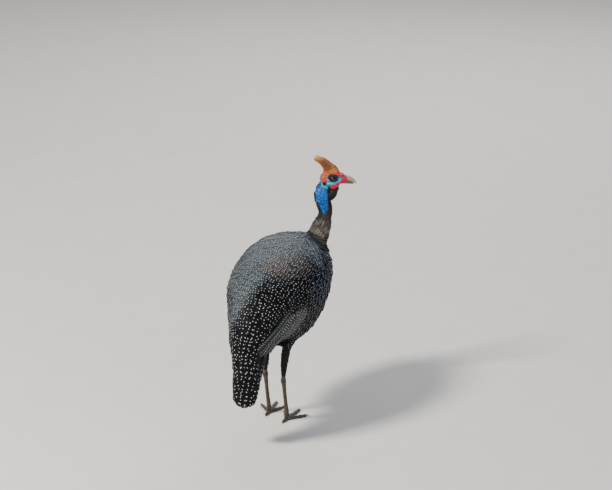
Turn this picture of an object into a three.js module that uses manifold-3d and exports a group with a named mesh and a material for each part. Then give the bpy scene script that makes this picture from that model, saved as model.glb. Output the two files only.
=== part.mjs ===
// Helmeted guinea fowl, a life-size still figure standing on both feet with its head turned to the right.
// Millimetres, +Z up. The bird faces -Y, so its left side is +X. The origin is on the floor,
// under the middle of the bird's bounding box.
import * as THREE from "three";
import { mergeVertices } from "three/addons/utils/BufferGeometryUtils.js";
import Module from "manifold-3d";

const wasm = await Module();
wasm.setup();

// Driving dimensions.
const GAP = 0.3; // clearance between neighbouring pieces
const BODY_WIDTH = 158; // folded wings included
const BODY_MIDDLE_Z = 242; // height of the trunk's widest line over the floor
const BODY_OVER = 82; // back above that line
const BODY_UNDER = 108; // belly below it
const NECK_RADIUS = 10.5; // bare upper neck
const HEAD_YAW = THREE.MathUtils.degToRad(-66); // turn of the head to the right of the body's heading
const HEAD_PITCH = THREE.MathUtils.degToRad(0);
const HEAD_AT = new THREE.Vector3(-38.4, -139, 398); // midpoint between the eyes
const EYE_RADIUS = 5.6;
const EYE_OUT = 8.2; // eye centre from the head's middle plane
const FOOT_SPREAD = 21; // each foot from the middle of the stance
const STANCE_X = 2.5; // the stance sits a little to the bird's left, against the turned head
const STANCE_Y = 22; // base of the toes, midway between the feet
const STRIDE = 10; // the left foot this far ahead of that, and the right foot behind
const HOCK_Z = 82;
const WING_DEPTH = 9; // thickness of the folded wing over the trunk
const WING_FROM = 34; // the folded wing stops this far from the middle plane, over the back and under the belly
const WING_PROUD = 2; // how far the folded wing stands out of the trunk

const bird = new THREE.Group();

// A smooth curve through samples at even steps, for points or for lists of numbers.
function through(samples) {
  return (t) => {
    const last = samples.length - 1;
    const at = Math.min(Math.max(t, 0), 1) * last;
    const i = Math.min(Math.floor(at), last - 1);
    const u = at - i;
    const pick = (k) => samples[Math.min(Math.max(k, 0), last)];
    return samples[0].map((_, c) => {
      const [a, b, d, e] = [pick(i - 1)[c], pick(i)[c], pick(i + 1)[c], pick(i + 2)[c]];
      const cubic = b + 0.5 * u * (d - a + u * (2 * a - 5 * b + 4 * d - e + u * (3 * (b - d) + e - a)));
      return cubic;
    });
  };
}

// A closed form swept along a spine. Each station is [x, y, z, up, down, half width], where up is the side
// that looks towards the given top, and the two ends close like an egg's. The section is a superellipse,
// with one power for its upper half and one for its lower half. Grow adds an even skin all over.
function sweep(stations, options = {}) {
  const { around = 24, along = 20, grow = 0, cap = 0.5, side = null } = options;
  const { over = 2, under = 2, top = new THREE.Vector3(0, 0, 1) } = options;
  const station = through(stations);
  const ball = new THREE.SphereGeometry(1, around, along);
  ball.deleteAttribute("normal");
  ball.deleteAttribute("uv");
  const form = mergeVertices(ball, 1e-4);
  const at = form.getAttribute("position");
  const point = new THREE.Vector3();
  const tangent = new THREE.Vector3();
  const left = new THREE.Vector3();
  const up = new THREE.Vector3();
  for (let i = 0; i < at.count; i++) {
    point.fromBufferAttribute(at, i);
    const latitude = Math.acos(THREE.MathUtils.clamp(point.y, -1, 1)) / Math.PI;
    const share = THREE.MathUtils.lerp(latitude, (1 - Math.cos(latitude * Math.PI)) / 2, cap);
    const angle = Math.atan2(point.z, point.x);
    const ring = Math.sin(latitude * Math.PI) < 1e-6 ? 0 : 1;
    const [x, y, z, rise, drop, half] = station(share);
    const before = station(share - 0.01);
    const after = station(share + 0.01);
    tangent.set(after[0] - before[0], after[1] - before[1], after[2] - before[2]).normalize();
    if (side) left.copy(side);
    else left.set(-tangent.y, tangent.x, 0);
    left.addScaledVector(tangent, -left.dot(tangent)).normalize();
    up.crossVectors(left, tangent).normalize();
    if (up.dot(top) < 0) up.negate();
    const c = Math.cos(angle);
    const s = Math.sin(angle);
    const power = s > 0 ? over : under;
    const across = Math.sign(c) * Math.abs(c) ** (2 / power);
    const high = Math.sign(s) * Math.abs(s) ** (2 / power);
    const tall = s > 0 ? rise : drop;
    const end = share < 0.5 ? -1 : 1;
    point.set(x, y, z);
    point.addScaledVector(left, ring * across * Math.max(half + grow, 0.05));
    point.addScaledVector(up, ring * high * Math.max(tall + grow, 0.05));
    if (!ring) point.addScaledVector(tangent, end * grow);
    at.setXYZ(i, point.x, point.y, point.z);
  }
  return solid(form);
}

// A closed indexed geometry as a solid, turned right side out.
function solid(geometry) {
  const merged = mergeVertices(bare(geometry), 1e-4);
  const build = (triVerts) =>
    new wasm.Manifold(
      new wasm.Mesh({ numProp: 3, vertProperties: merged.attributes.position.array, triVerts }),
    );
  const triangles = new Uint32Array(merged.index.array);
  const made = build(triangles);
  if (made.volume() > 0) return made;
  for (let i = 0; i < triangles.length; i += 3) {
    [triangles[i + 1], triangles[i + 2]] = [triangles[i + 2], triangles[i + 1]];
  }
  return build(triangles);
}

function bare(geometry) {
  const plain = geometry.clone();
  for (const name of Object.keys(plain.attributes)) {
    if (name !== "position") plain.deleteAttribute(name);
  }
  return plain;
}

function block(low, high) {
  const size = new THREE.Vector3().subVectors(high, low);
  const box = new THREE.BoxGeometry(size.x, size.y, size.z);
  box.translate((low.x + high.x) / 2, (low.y + high.y) / 2, (low.z + high.z) / 2);
  return solid(box);
}

// A half space on the far side of a point, as a large block turned to face along a direction.
function beyond(point, direction) {
  const reach = 600;
  const box = new THREE.BoxGeometry(reach, reach, reach);
  box.translate(0, 0, reach / 2);
  const turn = new THREE.Quaternion().setFromUnitVectors(
    new THREE.Vector3(0, 0, 1),
    direction.clone().normalize(),
  );
  box.applyQuaternion(turn);
  box.translate(point.x, point.y, point.z);
  return solid(box);
}

// Largest piece of a solid, so that a boolean's crumbs are dropped.
function largest(made) {
  return made.decompose().sort((a, b) => b.volume() - a.volume())[0];
}

function place(name, made, material) {
  const { numProp, numVert, vertProperties, triVerts } = largest(made).getMesh();
  const points = new Float32Array(numVert * 3);
  for (let i = 0; i < numVert; i++) {
    points.set(vertProperties.subarray(i * numProp, i * numProp + 3), i * 3);
  }
  const geometry = new THREE.BufferGeometry();
  geometry.setAttribute("position", new THREE.BufferAttribute(points, 3));
  geometry.setIndex(new THREE.BufferAttribute(triVerts, 1));
  geometry.computeVertexNormals();
  const mesh = new THREE.Mesh(geometry, material);
  mesh.name = name;
  bird.add(mesh);
}

const finish = (color, roughness) => new THREE.MeshStandardMaterial({ color, roughness, metalness: 0 });
const PLUMAGE = finish("#2c3038", 0.75);
const WING = finish("#1d2026", 0.7);
const COLLAR = finish("#5a5a60", 0.85);
const BLUE_SKIN = finish("#1668c8", 0.6);
const FACE = finish("#35b6cf", 0.6);
const RED_SKIN = finish("#cf2038", 0.55);
const HORN = finish("#b0672c", 0.6);
const BILL = finish("#b9a68c", 0.45);
const EYE = finish("#1c1310", 0.08);
const LEG = finish("#3a302c", 0.6);
const CLAW = finish("#2a2422", 0.4);

// Trunk and tail are one form along a spine that runs back from the breast and turns down at the rump.
const TRUNK_STATIONS = [
  // x, y, z, up, down, half width
  [0, -156, BODY_MIDDLE_Z - 10, 0, 0, 0],
  [0, -150, BODY_MIDDLE_Z - 9, 22, 24, 20],
  [1, -140, BODY_MIDDLE_Z - 7, 38, 40, 34],
  [2, -116, BODY_MIDDLE_Z - 4, BODY_OVER - 22, BODY_UNDER - 50, 50],
  [4, -74, BODY_MIDDLE_Z - 2, BODY_OVER - 10, BODY_UNDER - 21, 67],
  [5, -28, BODY_MIDDLE_Z, BODY_OVER - 2, BODY_UNDER - 1, BODY_WIDTH / 2 - 1],
  [4, 22, BODY_MIDDLE_Z - 3, BODY_OVER, BODY_UNDER + 1, BODY_WIDTH / 2],
  [2, 70, BODY_MIDDLE_Z - 10, BODY_OVER - 4, BODY_UNDER - 14, 73],
  [0, 112, BODY_MIDDLE_Z - 30, BODY_OVER - 9, BODY_UNDER - 43, 56],
  [0, 141, BODY_MIDDLE_Z - 60, 57, 44, 38],
  [0, 156, BODY_MIDDLE_Z - 94, 40, 30, 28],
  [1, 165, BODY_MIDDLE_Z - 125, 27, 21, 25],
  [2, 171, BODY_MIDDLE_Z - 150, 19, 15, 23],
  [3, 174, BODY_MIDDLE_Z - 164, 14, 11, 18],
  [3, 175, BODY_MIDDLE_Z - 172, 0, 0, 0],
];
const LEFTWARD = new THREE.Vector3(1, 0, 0);
const FORWARD = new THREE.Vector3(0, -1, 0);
const trunkForm = (grow, around = 24, along = 24) =>
  sweep(TRUNK_STATIONS, { around, along, grow, over: 2.3, under: 1.9, side: LEFTWARD, cap: 0.3 });
const body = trunkForm(0);

// The tail begins where the rump has turned down.
const TAIL_CUT = new THREE.Vector3(0, 150, BODY_MIDDLE_Z - 70);
const TAIL_WAY = new THREE.Vector3(0, 0.32, -1).normalize();
const tailSide = (gap) => beyond(TAIL_CUT.clone().addScaledVector(TAIL_WAY, gap), TAIL_WAY);

// The neck rises from the front of the trunk, and its top turns with the head.
const NECK_STATIONS = [
  [2, -94, 254, 24, 24, 22],
  [-9, -116, 277, 22, 22, 22],
  [-17.5, -130, 298, 20, 21, 19.5],
  [-21.5, -132.5, 312, 18.5, 18.5, 17],
  [-26.5, -134.5, 326, 12, 12, 11.5],
  [-27, -134.3, 340, 11, 10.8, NECK_RADIUS],
  [-22.7, -132.2, 357, 13, 12.8, NECK_RADIUS + 1.5],
  [-21.7, -132, 374, 13, 12.5, NECK_RADIUS + 1.5],
  [-28, -134.8, 392, 8, 8, 8],
];
const headTurn = new THREE.Euler(0, 0, HEAD_YAW, "ZYX");
const RIGHT_OF_HEAD = new THREE.Vector3(1, 0, 0).applyEuler(headTurn);
const FRONT_OF_HEAD = new THREE.Vector3(0, -1, 0).applyEuler(headTurn);
const neckForm = (grow) =>
  sweep(NECK_STATIONS, { around: 14, along: 16, grow, side: RIGHT_OF_HEAD, top: FRONT_OF_HEAD, cap: 0.1 });

// Head pieces are made facing -Y about the midpoint between the eyes, then turned and set on the neck.
function onHead(made) {
  const degrees = THREE.MathUtils.radToDeg;
  return made
    .rotate([degrees(HEAD_PITCH), 0, 0])
    .rotate([0, 0, degrees(HEAD_YAW)])
    .translate([HEAD_AT.x, HEAD_AT.y, HEAD_AT.z]);
}
const SKULL_STATIONS = [
  [0, 23, -4, 0, 0, 0],
  [0, 20, -3.5, 9, 9, 8],
  [0, 13, -2.5, 13.5, 13, 11],
  [0, 4, -1.5, 14.5, 13, 12.2],
  [0, -6, -1.5, 13, 11, 11.6],
  [0, -14, -2, 10.5, 8.8, 9],
  [0, -21, -3, 8, 7, 7],
  [0, -26, -3.6, 5.5, 5, 5],
  [0, -29, -4, 0, 0, 0],
];
const skullForm = (grow) =>
  sweep(SKULL_STATIONS, { around: 14, along: 12, grow, side: LEFTWARD, cap: 0.2 });
const UPPER_BILL_STATIONS = [
  [0, -17, -2.2, 5.6, 2.6, 4.8],
  [0, -24, -2.4, 5.8, 3.0, 5.0],
  [0, -30, -3.2, 5.2, 3.2, 4.5],
  [0, -35, -5.0, 4.2, 3.0, 3.5],
  [0, -39, -7.6, 2.6, 2.2, 2.2],
  [0, -41.5, -10.6, 0.4, 0.4, 0.5],
];
const upperBillForm = (grow) =>
  sweep(UPPER_BILL_STATIONS, { around: 12, along: 10, grow, side: LEFTWARD, cap: 0.2 });
const LOWER_BILL_STATIONS = [
  [0, -16, -7.4, 2.4, 2.6, 4.6],
  [0, -23, -7.9, 2.2, 2.6, 4.4],
  [0, -29, -8.6, 2.0, 2.3, 3.6],
  [0, -34, -9.6, 1.6, 1.7, 2.6],
  [0, -37, -10.6, 0.4, 0.4, 0.6],
];
const lowerBillForm = (grow) =>
  sweep(LOWER_BILL_STATIONS, { around: 12, along: 8, grow, side: LEFTWARD, cap: 0.2 });
const CASQUE_STATIONS = [
  [0, 3, 5, 13, 16, 6.8],
  [0, 5.5, 14, 10.4, 12, 5.8],
  [0, 13.5, 23, 8, 7, 4.8],
  [0, 20.5, 30.5, 6.6, 5.2, 4.1],
  [0, 26.5, 36, 4.8, 4.8, 3.6],
  [0, 30, 38.6, 3, 3.2, 2.8],
  [0, 31.8, 40, 0.4, 0.4, 0.4],
];
const casqueForm = (grow) =>
  sweep(CASQUE_STATIONS, { around: 12, along: 11, grow, side: LEFTWARD, cap: 0.3 });
// The wattle hangs back from the gape, pressed against the cheek.
const WATTLE_STATIONS = [
  [0, -16, -6.5, 0.6, 0.6, 0.6],
  [0, -11.5, -8.6, 1.8, 2.0, 1.2],
  [0, -6, -11.4, 3.4, 4.2, 1.5],
  [0, 0, -13.8, 4.6, 5.2, 1.5],
  [0, 5, -14.6, 3.2, 3.4, 1.2],
  [0, 7.6, -15, 0.5, 0.5, 0.5],
];
const WATTLE_OUT = 10.2;
const wattleForm = (left, grow) =>
  sweep(WATTLE_STATIONS, { around: 12, along: 10, grow, side: LEFTWARD, cap: 0.3 })
    .rotate([0, 0, left * -12])
    .translate([left * WATTLE_OUT, 0, 0]);
const eyeForm = (left, grow) =>
  solid(new THREE.SphereGeometry(EYE_RADIUS + grow, 12, 8)).translate([left * EYE_OUT, 0, 0]);
// Black-feathered throat lobe under the cheek.
const THROAT_STATIONS = [
  [0, -9, -9, 3, 3, 4],
  [0, -4, -14, 5, 8, 8],
  [0, 0, -23, 6, 8.5, 8.5],
  [0, 4, -32, 6, 8.5, 8],
  [0, 8, -40, 3, 4, 4],
];
const throatForm = (grow) =>
  sweep(THROAT_STATIONS, { around: 12, along: 8, grow, side: LEFTWARD, cap: 0.2 });

// Cut planes across the neck: under the head, at the foot of the blue skin, and round the collar.
const HEAD_CUT = new THREE.Vector3(-26, -134, 379);
const BARE_CUT = new THREE.Vector3(-28, -134, 331);
const UPWARD = new THREE.Vector3(0, 0, 1);
const overHead = (gap) => beyond(HEAD_CUT.clone().setZ(HEAD_CUT.z + gap), UPWARD);
const overBare = (gap) => beyond(BARE_CUT.clone().setZ(BARE_CUT.z + gap), UPWARD);

// The folded wing's outline on the bird's side, seen along X, as y and z.
const WING_OUTLINE = [
  [-104, 262],
  [-112, 238],
  [-98, 205],
  [-62, 176],
  [-10, 160],
  [48, 156],
  [100, 152],
  [136, 158],
  [128, 196],
  [96, 236],
  [40, 266],
  [-30, 280],
  [-78, 280],
];
function wingPrism(left, grow) {
  const centre = [10, 215];
  const points = WING_OUTLINE.map(([y, z]) => {
    const out = new THREE.Vector2(y - centre[0], z - centre[1]);
    out.setLength(out.length() + grow);
    return new THREE.Vector2(out.x + centre[0], out.y + centre[1]);
  });
  const loop = new THREE.SplineCurve([...points, points[0]]).getPoints(26).slice(0, -1);
  const reach = 160;
  const prism = new THREE.ExtrudeGeometry(new THREE.Shape(loop), {
    depth: reach,
    bevelEnabled: false,
    steps: 1,
  });
  const turned = new THREE.Matrix4().makeBasis(
    new THREE.Vector3(0, 1, 0),
    new THREE.Vector3(0, 0, 1),
    new THREE.Vector3(1, 0, 0),
  );
  prism.applyMatrix4(turned);
  prism.translate(left * (WING_FROM - grow) - (left < 0 ? reach : 0), 0, 0);
  return solid(prism);
}
const core = trunkForm(-WING_DEPTH, 14, 14);
const wingOuter = trunkForm(WING_PROUD);
const wings = [1, -1].map((left) =>
  wingOuter.intersect(wingPrism(left, 0)).subtract(trunkForm(-WING_DEPTH + GAP, 14, 14)),
);
const trunkWhole = body
  .subtract(wingPrism(1, GAP))
  .subtract(wingPrism(-1, GAP))
  .add(core);
const trunk = trunkWhole.subtract(tailSide(0)).subtract(neckForm(GAP));
place("trunk", trunk, PLUMAGE);
wings.forEach((wing, i) => {
  const cut = wing.subtract(tailSide(-GAP)).subtract(neckForm(GAP));
  place(i ? "wing_right" : "wing_left", cut, WING);
});
place("tail", body.intersect(tailSide(GAP)), WING);

// Neck in two lengths.
const skull = onHead(skullForm(0));
const throat = onHead(throatForm(0));
place("neck_collar", neckForm(0).subtract(overBare(0)), COLLAR);
const bareNeck = neckForm(0).add(throat).intersect(overBare(GAP)).subtract(overHead(0));
place("neck_bare", bareNeck, BLUE_SKIN);

// Head and what grows on it.
const bills = onHead(upperBillForm(GAP)).add(onHead(lowerBillForm(GAP)));
const lids = onHead(eyeForm(1, GAP)).add(onHead(eyeForm(-1, GAP)));
const headWhole = skull.add(neckForm(0).intersect(overHead(GAP))).add(throat.intersect(overHead(GAP)));
const head = headWhole
  .intersect(overHead(GAP))
  .subtract(bills)
  .subtract(lids)
  .subtract(onHead(casqueForm(GAP)));
place("head", head, FACE);
place("casque", onHead(casqueForm(0)).subtract(lids), HORN);
place("bill_upper", onHead(upperBillForm(0)), BILL);
place("bill_lower", onHead(lowerBillForm(0)).subtract(onHead(upperBillForm(GAP))), BILL);
for (const left of [1, -1]) {
  const name = left > 0 ? "left" : "right";
  place(`eye_${name}`, onHead(eyeForm(left, 0)), EYE);
  const wattle = onHead(wattleForm(left, 0))
    .subtract(onHead(skullForm(GAP)))
    .subtract(onHead(throatForm(GAP)))
    .subtract(neckForm(GAP))
    .subtract(bills);
  place(`wattle_${name}`, wattle, RED_SKIN);
}

// Legs: a feathered thigh under the trunk, a scaled shank, three front toes and a hind toe, each clawed.
const floorUp = block(new THREE.Vector3(-300, -300, 0), new THREE.Vector3(300, 300, 500));
const TOES = [
  { name: "middle", turn: 6, length: 46, radius: 3.7 },
  { name: "inner", turn: -28, length: 35, radius: 3.4 },
  { name: "outer", turn: 43, length: 36, radius: 3.4 },
  { name: "hind", turn: 184, length: 15, radius: 3.2 },
];
const TOE_AXIS = 1.9; // height of a toe's middle over the floor, so that its pads are flat
const CLAW_LENGTH = 11;
for (const left of [1, -1]) {
  const name = left > 0 ? "left" : "right";
  const x = STANCE_X + left * FOOT_SPREAD;
  const footY = STANCE_Y - left * STRIDE;
  const hockY = footY + 16;
  const thighStations = [
    [x + left * 5.4, hockY - 20, 168, 20, 20, 16],
    [x + left * 3.6, hockY - 12, 148, 16, 16, 13],
    [x + left * 1.4, hockY - 6, 126, 9, 10, 8.5],
    [x + left * 0.4, hockY - 3, 106, 6.6, 7.4, 6.4],
    [x, hockY - 0.5, HOCK_Z + 7, 5, 5.2, 4.8],
    [x, hockY, HOCK_Z + 1.5, 4.2, 4.2, 4],
  ];
  const thighForm = (grow) =>
    sweep(thighStations, { around: 12, along: 12, grow, side: LEFTWARD, top: FORWARD, cap: 0.1 });
  place(`thigh_${name}`, thighForm(0).subtract(trunkForm(GAP)), PLUMAGE);
  const shankStations = [
    [x, hockY, HOCK_Z + 5, 3.2, 3.2, 3],
    [x, hockY, HOCK_Z - 3, 6, 5, 4.8],
    [x, hockY - 3, HOCK_Z - 14, 4.4, 4, 3.6],
    [x, hockY - 9, HOCK_Z - 42, 3.9, 3.7, 3.2],
    [x, hockY - 15, 16, 4.4, 4.2, 4],
    [x, footY, 7, 5, 5, 4.8],
    [x, footY - 1, 2.5, 3.6, 3.6, 3.6],
  ];
  const shankForm = (grow) =>
    sweep(shankStations, { around: 10, along: 12, grow, side: LEFTWARD, top: FORWARD, cap: 0.1 });
  place(`shank_${name}`, shankForm(0).subtract(thighForm(GAP)).intersect(floorUp), LEG);
  let taken = shankForm(GAP);
  for (const toe of TOES) {
    const turn = THREE.MathUtils.degToRad(toe.turn * left);
    const way = new THREE.Vector3(Math.sin(turn), -Math.cos(turn), 0);
    const knuckles = 3;
    const stations = [];
    for (let i = 0; i <= knuckles * 4; i++) {
      const share = i / (knuckles * 4);
      const pad = 1 + 0.14 * Math.sin(share * knuckles * 2 * Math.PI + 0.6);
      const r = toe.radius * THREE.MathUtils.lerp(1.12, 0.72, share) * pad;
      const at = way.clone().multiplyScalar(toe.length * share);
      const rise = TOE_AXIS + 0.032 * toe.length * (1 - share) ** 2;
      stations.push([x + at.x, footY + at.y, rise, r, r, r]);
    }
    const toeForm = sweep(stations, { around: 7, along: 9, cap: 0.3 });
    const tip = way.clone().multiplyScalar(toe.length - 2.5);
    const clawForm = (grow) =>
      sweep(
        [0, 0.25, 0.5, 0.75, 1].map((s) => {
          const at = tip.clone().addScaledVector(way, CLAW_LENGTH * s * (toe.turn > 90 ? 0.8 : 1));
          const r = THREE.MathUtils.lerp(2.1, 0.35, s ** 1.2);
          return [x + at.x, footY + at.y, 3.3 - 2.4 * s ** 2, r, r, r * 0.85];
        }),
        { around: 6, along: 6, grow, cap: 0.1 },
      );
    const toeCut = toeForm.subtract(taken).subtract(clawForm(GAP)).intersect(floorUp);
    place(`toe_${name}_${toe.name}`, toeCut, LEG);
    place(`claw_${name}_${toe.name}`, clawForm(0).intersect(floorUp), CLAW);
    taken = taken.add(
      sweep(stations, { around: 7, along: 9, cap: 0.3, grow: GAP }),
    );
  }
}

// The origin goes under the middle of the finished bird.
const box = new THREE.Box3().setFromObject(bird);
const middle = box.getCenter(new THREE.Vector3());
bird.children.forEach((mesh) => mesh.position.set(-middle.x, -middle.y, -box.min.z));

export default bird;
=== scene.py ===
"""Helmeted guinea fowl, a life-size still figure: spotted plumage, a bare blue neck and a horn casque."""

import math
from itertools import product

import bpy
import numpy as np
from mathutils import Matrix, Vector
from mathutils.bvhtree import BVHTree


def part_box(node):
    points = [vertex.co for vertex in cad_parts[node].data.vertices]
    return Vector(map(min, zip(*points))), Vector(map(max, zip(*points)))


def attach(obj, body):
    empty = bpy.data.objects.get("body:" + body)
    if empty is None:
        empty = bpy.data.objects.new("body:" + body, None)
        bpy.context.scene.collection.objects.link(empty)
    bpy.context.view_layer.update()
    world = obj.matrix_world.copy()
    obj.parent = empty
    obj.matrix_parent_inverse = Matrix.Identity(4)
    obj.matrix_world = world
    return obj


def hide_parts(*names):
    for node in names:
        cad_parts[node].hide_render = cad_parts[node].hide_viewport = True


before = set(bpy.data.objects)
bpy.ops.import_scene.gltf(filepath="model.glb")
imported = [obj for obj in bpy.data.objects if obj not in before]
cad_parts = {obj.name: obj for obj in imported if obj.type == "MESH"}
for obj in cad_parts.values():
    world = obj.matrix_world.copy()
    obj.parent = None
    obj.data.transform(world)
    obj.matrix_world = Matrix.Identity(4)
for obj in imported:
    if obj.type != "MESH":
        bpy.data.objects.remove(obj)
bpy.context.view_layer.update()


# The skin. The real one is a single hide: feathered over the body and the foot of the neck, bare on the
# head and upper neck, with folds and lids round the eye. It is clay over the frame's solids, turned into
# one closed surface, smoothed, and drawn in under the feathers by the depth of the coat.
MM = 0.001
UP = np.array([0.0, 0.0, 1.0])
HEAD_SCALE = 4.6  # the head is enlarged this much while its surface is made, so that it comes out finer
HEAD_REACH = 52.0
SKIN_GRAIN = 3.4  # size of one cell of the surface, over the body
SEAM_FILL = 0.3  # closes the clearance between the frame's solids
BODY_COAT = 5.0
NECK_COAT = 2.2
LEG_COAT = 2.4
NECK_THINS = (296, 316)  # heights between which the body's coat thins to the neck's


def unit(vectors):
    vectors = np.asarray(vectors, float)
    return vectors / np.maximum(np.linalg.norm(vectors, axis=-1, keepdims=True), 1e-9)


def box_mm(node):
    low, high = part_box(node)
    return np.array(low) / MM, np.array(high) / MM


def middle_mm(node):
    low, high = box_mm(node)
    return (low + high) / 2


def ramp(values, start, end):
    share = np.clip((values - start) / (end - start), 0.0, 1.0)
    return share * share * (3 - 2 * share)


EYES = {"left": middle_mm("eye_left"), "right": middle_mm("eye_right")}
HEAD_AT = (EYES["left"] + EYES["right"]) / 2
HEAD_SIDE = unit(EYES["left"] - EYES["right"])
HEAD_BACK = -np.cross(HEAD_SIDE, UP)
HEAD_TURN = np.array([HEAD_SIDE, HEAD_BACK, UP])  # the head's own x is left, y is back, z is up


def on_head(points):
    return HEAD_AT + np.asarray(points, float) @ HEAD_TURN


def in_head(points):
    return (points - HEAD_AT) @ HEAD_TURN.T


def through(samples, share):
    """A smooth curve through samples at even steps."""
    samples = np.asarray(samples, float)
    last = len(samples) - 1
    at = np.clip(share, 0, 1) * last
    i = np.minimum(at.astype(int), last - 1)
    u = (at - i)[:, None]
    a, b, c, d = (samples[np.clip(i + k, 0, last)] for k in (-1, 0, 1, 2))
    return b + 0.5 * u * (c - a + u * (2 * a - 5 * b + 4 * c - d + u * (3 * (b - c) + d - a)))


def loft(stations, around, along, side, top=UP, power=2.0, ends=0.4, relief=None):
    """A closed form along a spine; a station is x, y, z, up, down, half width."""
    latitude = np.linspace(0, 1, along + 1)
    share = latitude + ends * ((1 - np.cos(latitude * np.pi)) / 2 - latitude)
    rows = through(stations, share)
    ahead = unit(through(stations, share + 0.01)[:, :3] - through(stations, share - 0.01)[:, :3])
    side = np.broadcast_to(np.asarray(side, float), ahead.shape)
    left = unit(side - ahead * np.sum(side * ahead, axis=1, keepdims=True))
    up = np.cross(left, ahead)
    up = np.where(up @ np.asarray(top, float)[:, None] < 0, -up, up)
    angle = np.linspace(0, 2 * np.pi, around, endpoint=False)
    across = np.sign(np.cos(angle)) * np.abs(np.cos(angle)) ** (2 / power)
    high = np.sign(np.sin(angle)) * np.abs(np.sin(angle)) ** (2 / power)
    tall = np.where(np.sin(angle) > 0, rows[:, 3:4], rows[:, 4:5])
    half = np.repeat(rows[:, 5:6], around, axis=1)
    if relief is not None:
        raised = relief(share[:, None], angle[None, :])
        tall = tall + raised
        half = half + raised
    out = left[:, None] * (across * np.maximum(half, 0.05))[..., None]
    out = out + up[:, None] * (high * np.maximum(tall, 0.05))[..., None]
    rings = rows[:, None, :3] + out
    points = np.vstack([rows[:1, :3], rings[1:-1].reshape(-1, 3), rows[-1:, :3]])
    final = len(points) - 1
    faces = []
    for j in range(around):
        k = (j + 1) % around
        faces.append((0, 1 + j, 1 + k))
        for i in range(along - 2):
            near = 1 + i * around
            far = near + around
            faces.append((near + j, far + j, far + k, near + k))
        near = 1 + (along - 2) * around
        faces.append((near + j, final, near + k))
    return outward(points, faces)


def outward(points, faces):
    """Turns a closed form's faces to look out."""
    volume = 0.0
    for face in faces:
        a = points[face[0]]
        for b, c in zip(face[1:-1], face[2:]):
            volume += a @ np.cross(points[b], points[c])
    return points, ([face[::-1] for face in faces] if volume < 0 else faces)


def gather(forms):
    points = []
    faces = []
    start = 0
    for some, sides in forms:
        points.append(some)
        faces.extend(tuple(start + i for i in side) for side in sides)
        start += len(some)
    return np.vstack(points), faces


def new_object(name, points, faces, materials=(), colours=None):
    mesh = bpy.data.meshes.new(name)
    mesh.from_pydata((points * MM).tolist(), [], faces)
    mesh.polygons.foreach_set("use_smooth", [True] * len(mesh.polygons))
    piece = bpy.data.objects.new(name, mesh)
    bpy.context.scene.collection.objects.link(piece)
    for material in materials:
        mesh.materials.append(material)
    if colours is not None:
        layer = mesh.color_attributes.new("markings", "FLOAT_COLOR", "POINT")
        layer.data.foreach_set("color", np.hstack([colours, np.ones((len(colours), 1))]).ravel())
    return piece


def one_surface(points, faces, cell):
    """Joins overlapping closed forms into one closed surface of even cells."""
    draft = new_object("draft", points, faces)
    skin_over = draft.modifiers.new("one surface", "REMESH")
    skin_over.mode = "VOXEL"
    skin_over.voxel_size = cell * MM
    made = draft.evaluated_get(bpy.context.evaluated_depsgraph_get()).to_mesh()
    result = np.empty(len(made.vertices) * 3)
    made.vertices.foreach_get("co", result)
    sides = [tuple(face.vertices) for face in made.polygons]
    bpy.data.objects.remove(draft)
    return result.reshape(-1, 3) / MM, sides


def relax(points, faces, rounds, weight=None):
    """Evens a surface out without letting it shrink."""
    edges = set()
    for face in faces:
        for a, b in zip(face, face[1:] + face[:1]):
            edges.add((a, b) if a < b else (b, a))
    a, b = np.array(sorted(edges)).T
    count = np.bincount(a, minlength=len(points)) + np.bincount(b, minlength=len(points))
    weight = np.ones(len(points)) if weight is None else weight
    for step in range(rounds * 2):
        pull = 0.55 if step % 2 == 0 else -0.57
        for axis in range(3):
            old = points[:, axis]
            near = np.bincount(a, old[b], len(points)) + np.bincount(b, old[a], len(points))
            points[:, axis] = old + weight * pull * (near / np.maximum(count, 1) - old)
    return points


def normals_of(points, faces):
    quads = np.array([face if len(face) == 4 else face + face[-1:] for face in faces])
    across = np.cross(points[quads[:, 2]] - points[quads[:, 0]], points[quads[:, 3]] - points[quads[:, 1]])
    total = np.zeros_like(points)
    for corner in range(4):
        for axis in range(3):
            total[:, axis] += np.bincount(quads[:, corner], across[:, axis], len(points))
    return unit(total)


def swell(points):
    """Enlarges the head about its middle and pushes all else away."""
    reach = np.linalg.norm(points - HEAD_AT, axis=1)
    grown = np.where(reach < HEAD_REACH, reach * HEAD_SCALE, reach + (HEAD_SCALE - 1) * HEAD_REACH)
    return HEAD_AT + (points - HEAD_AT) * (grown / np.maximum(reach, 1e-6))[:, None]


def unswell(points):
    grown = np.linalg.norm(points - HEAD_AT, axis=1)
    inner = HEAD_REACH * HEAD_SCALE
    reach = np.where(grown < inner, grown / HEAD_SCALE, grown - (HEAD_SCALE - 1) * HEAD_REACH)
    return HEAD_AT + (points - HEAD_AT) * (reach / np.maximum(grown, 1e-6))[:, None]


FLESH = ["trunk", "wing_left", "wing_right", "tail", "neck_collar", "neck_bare", "head"]
FLESH += ["thigh_left", "thigh_right"]


def node_form(node, fill):
    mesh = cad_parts[node].data
    points = np.array([v.co for v in mesh.vertices]) / MM
    faces = [tuple(face.vertices) for face in mesh.polygons]
    # Corners that share a place are joined, so that the form is closed.
    seen = {}
    index = np.array([seen.setdefault(tuple(np.round(p, 3)), len(seen)) for p in points])
    joined = np.array(list(seen.keys()))
    faces = [tuple(int(index[i]) for i in face) for face in faces]
    faces = [face for face in faces if len(set(face)) == len(face)]
    triangles = np.array(faces)
    across = np.cross(
        joined[triangles[:, 1]] - joined[triangles[:, 0]],
        joined[triangles[:, 2]] - joined[triangles[:, 0]],
    )
    total = np.zeros_like(joined)
    for corner in range(3):
        np.add.at(total, triangles[:, corner], across)
    return joined + unit(total) * fill, faces


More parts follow.
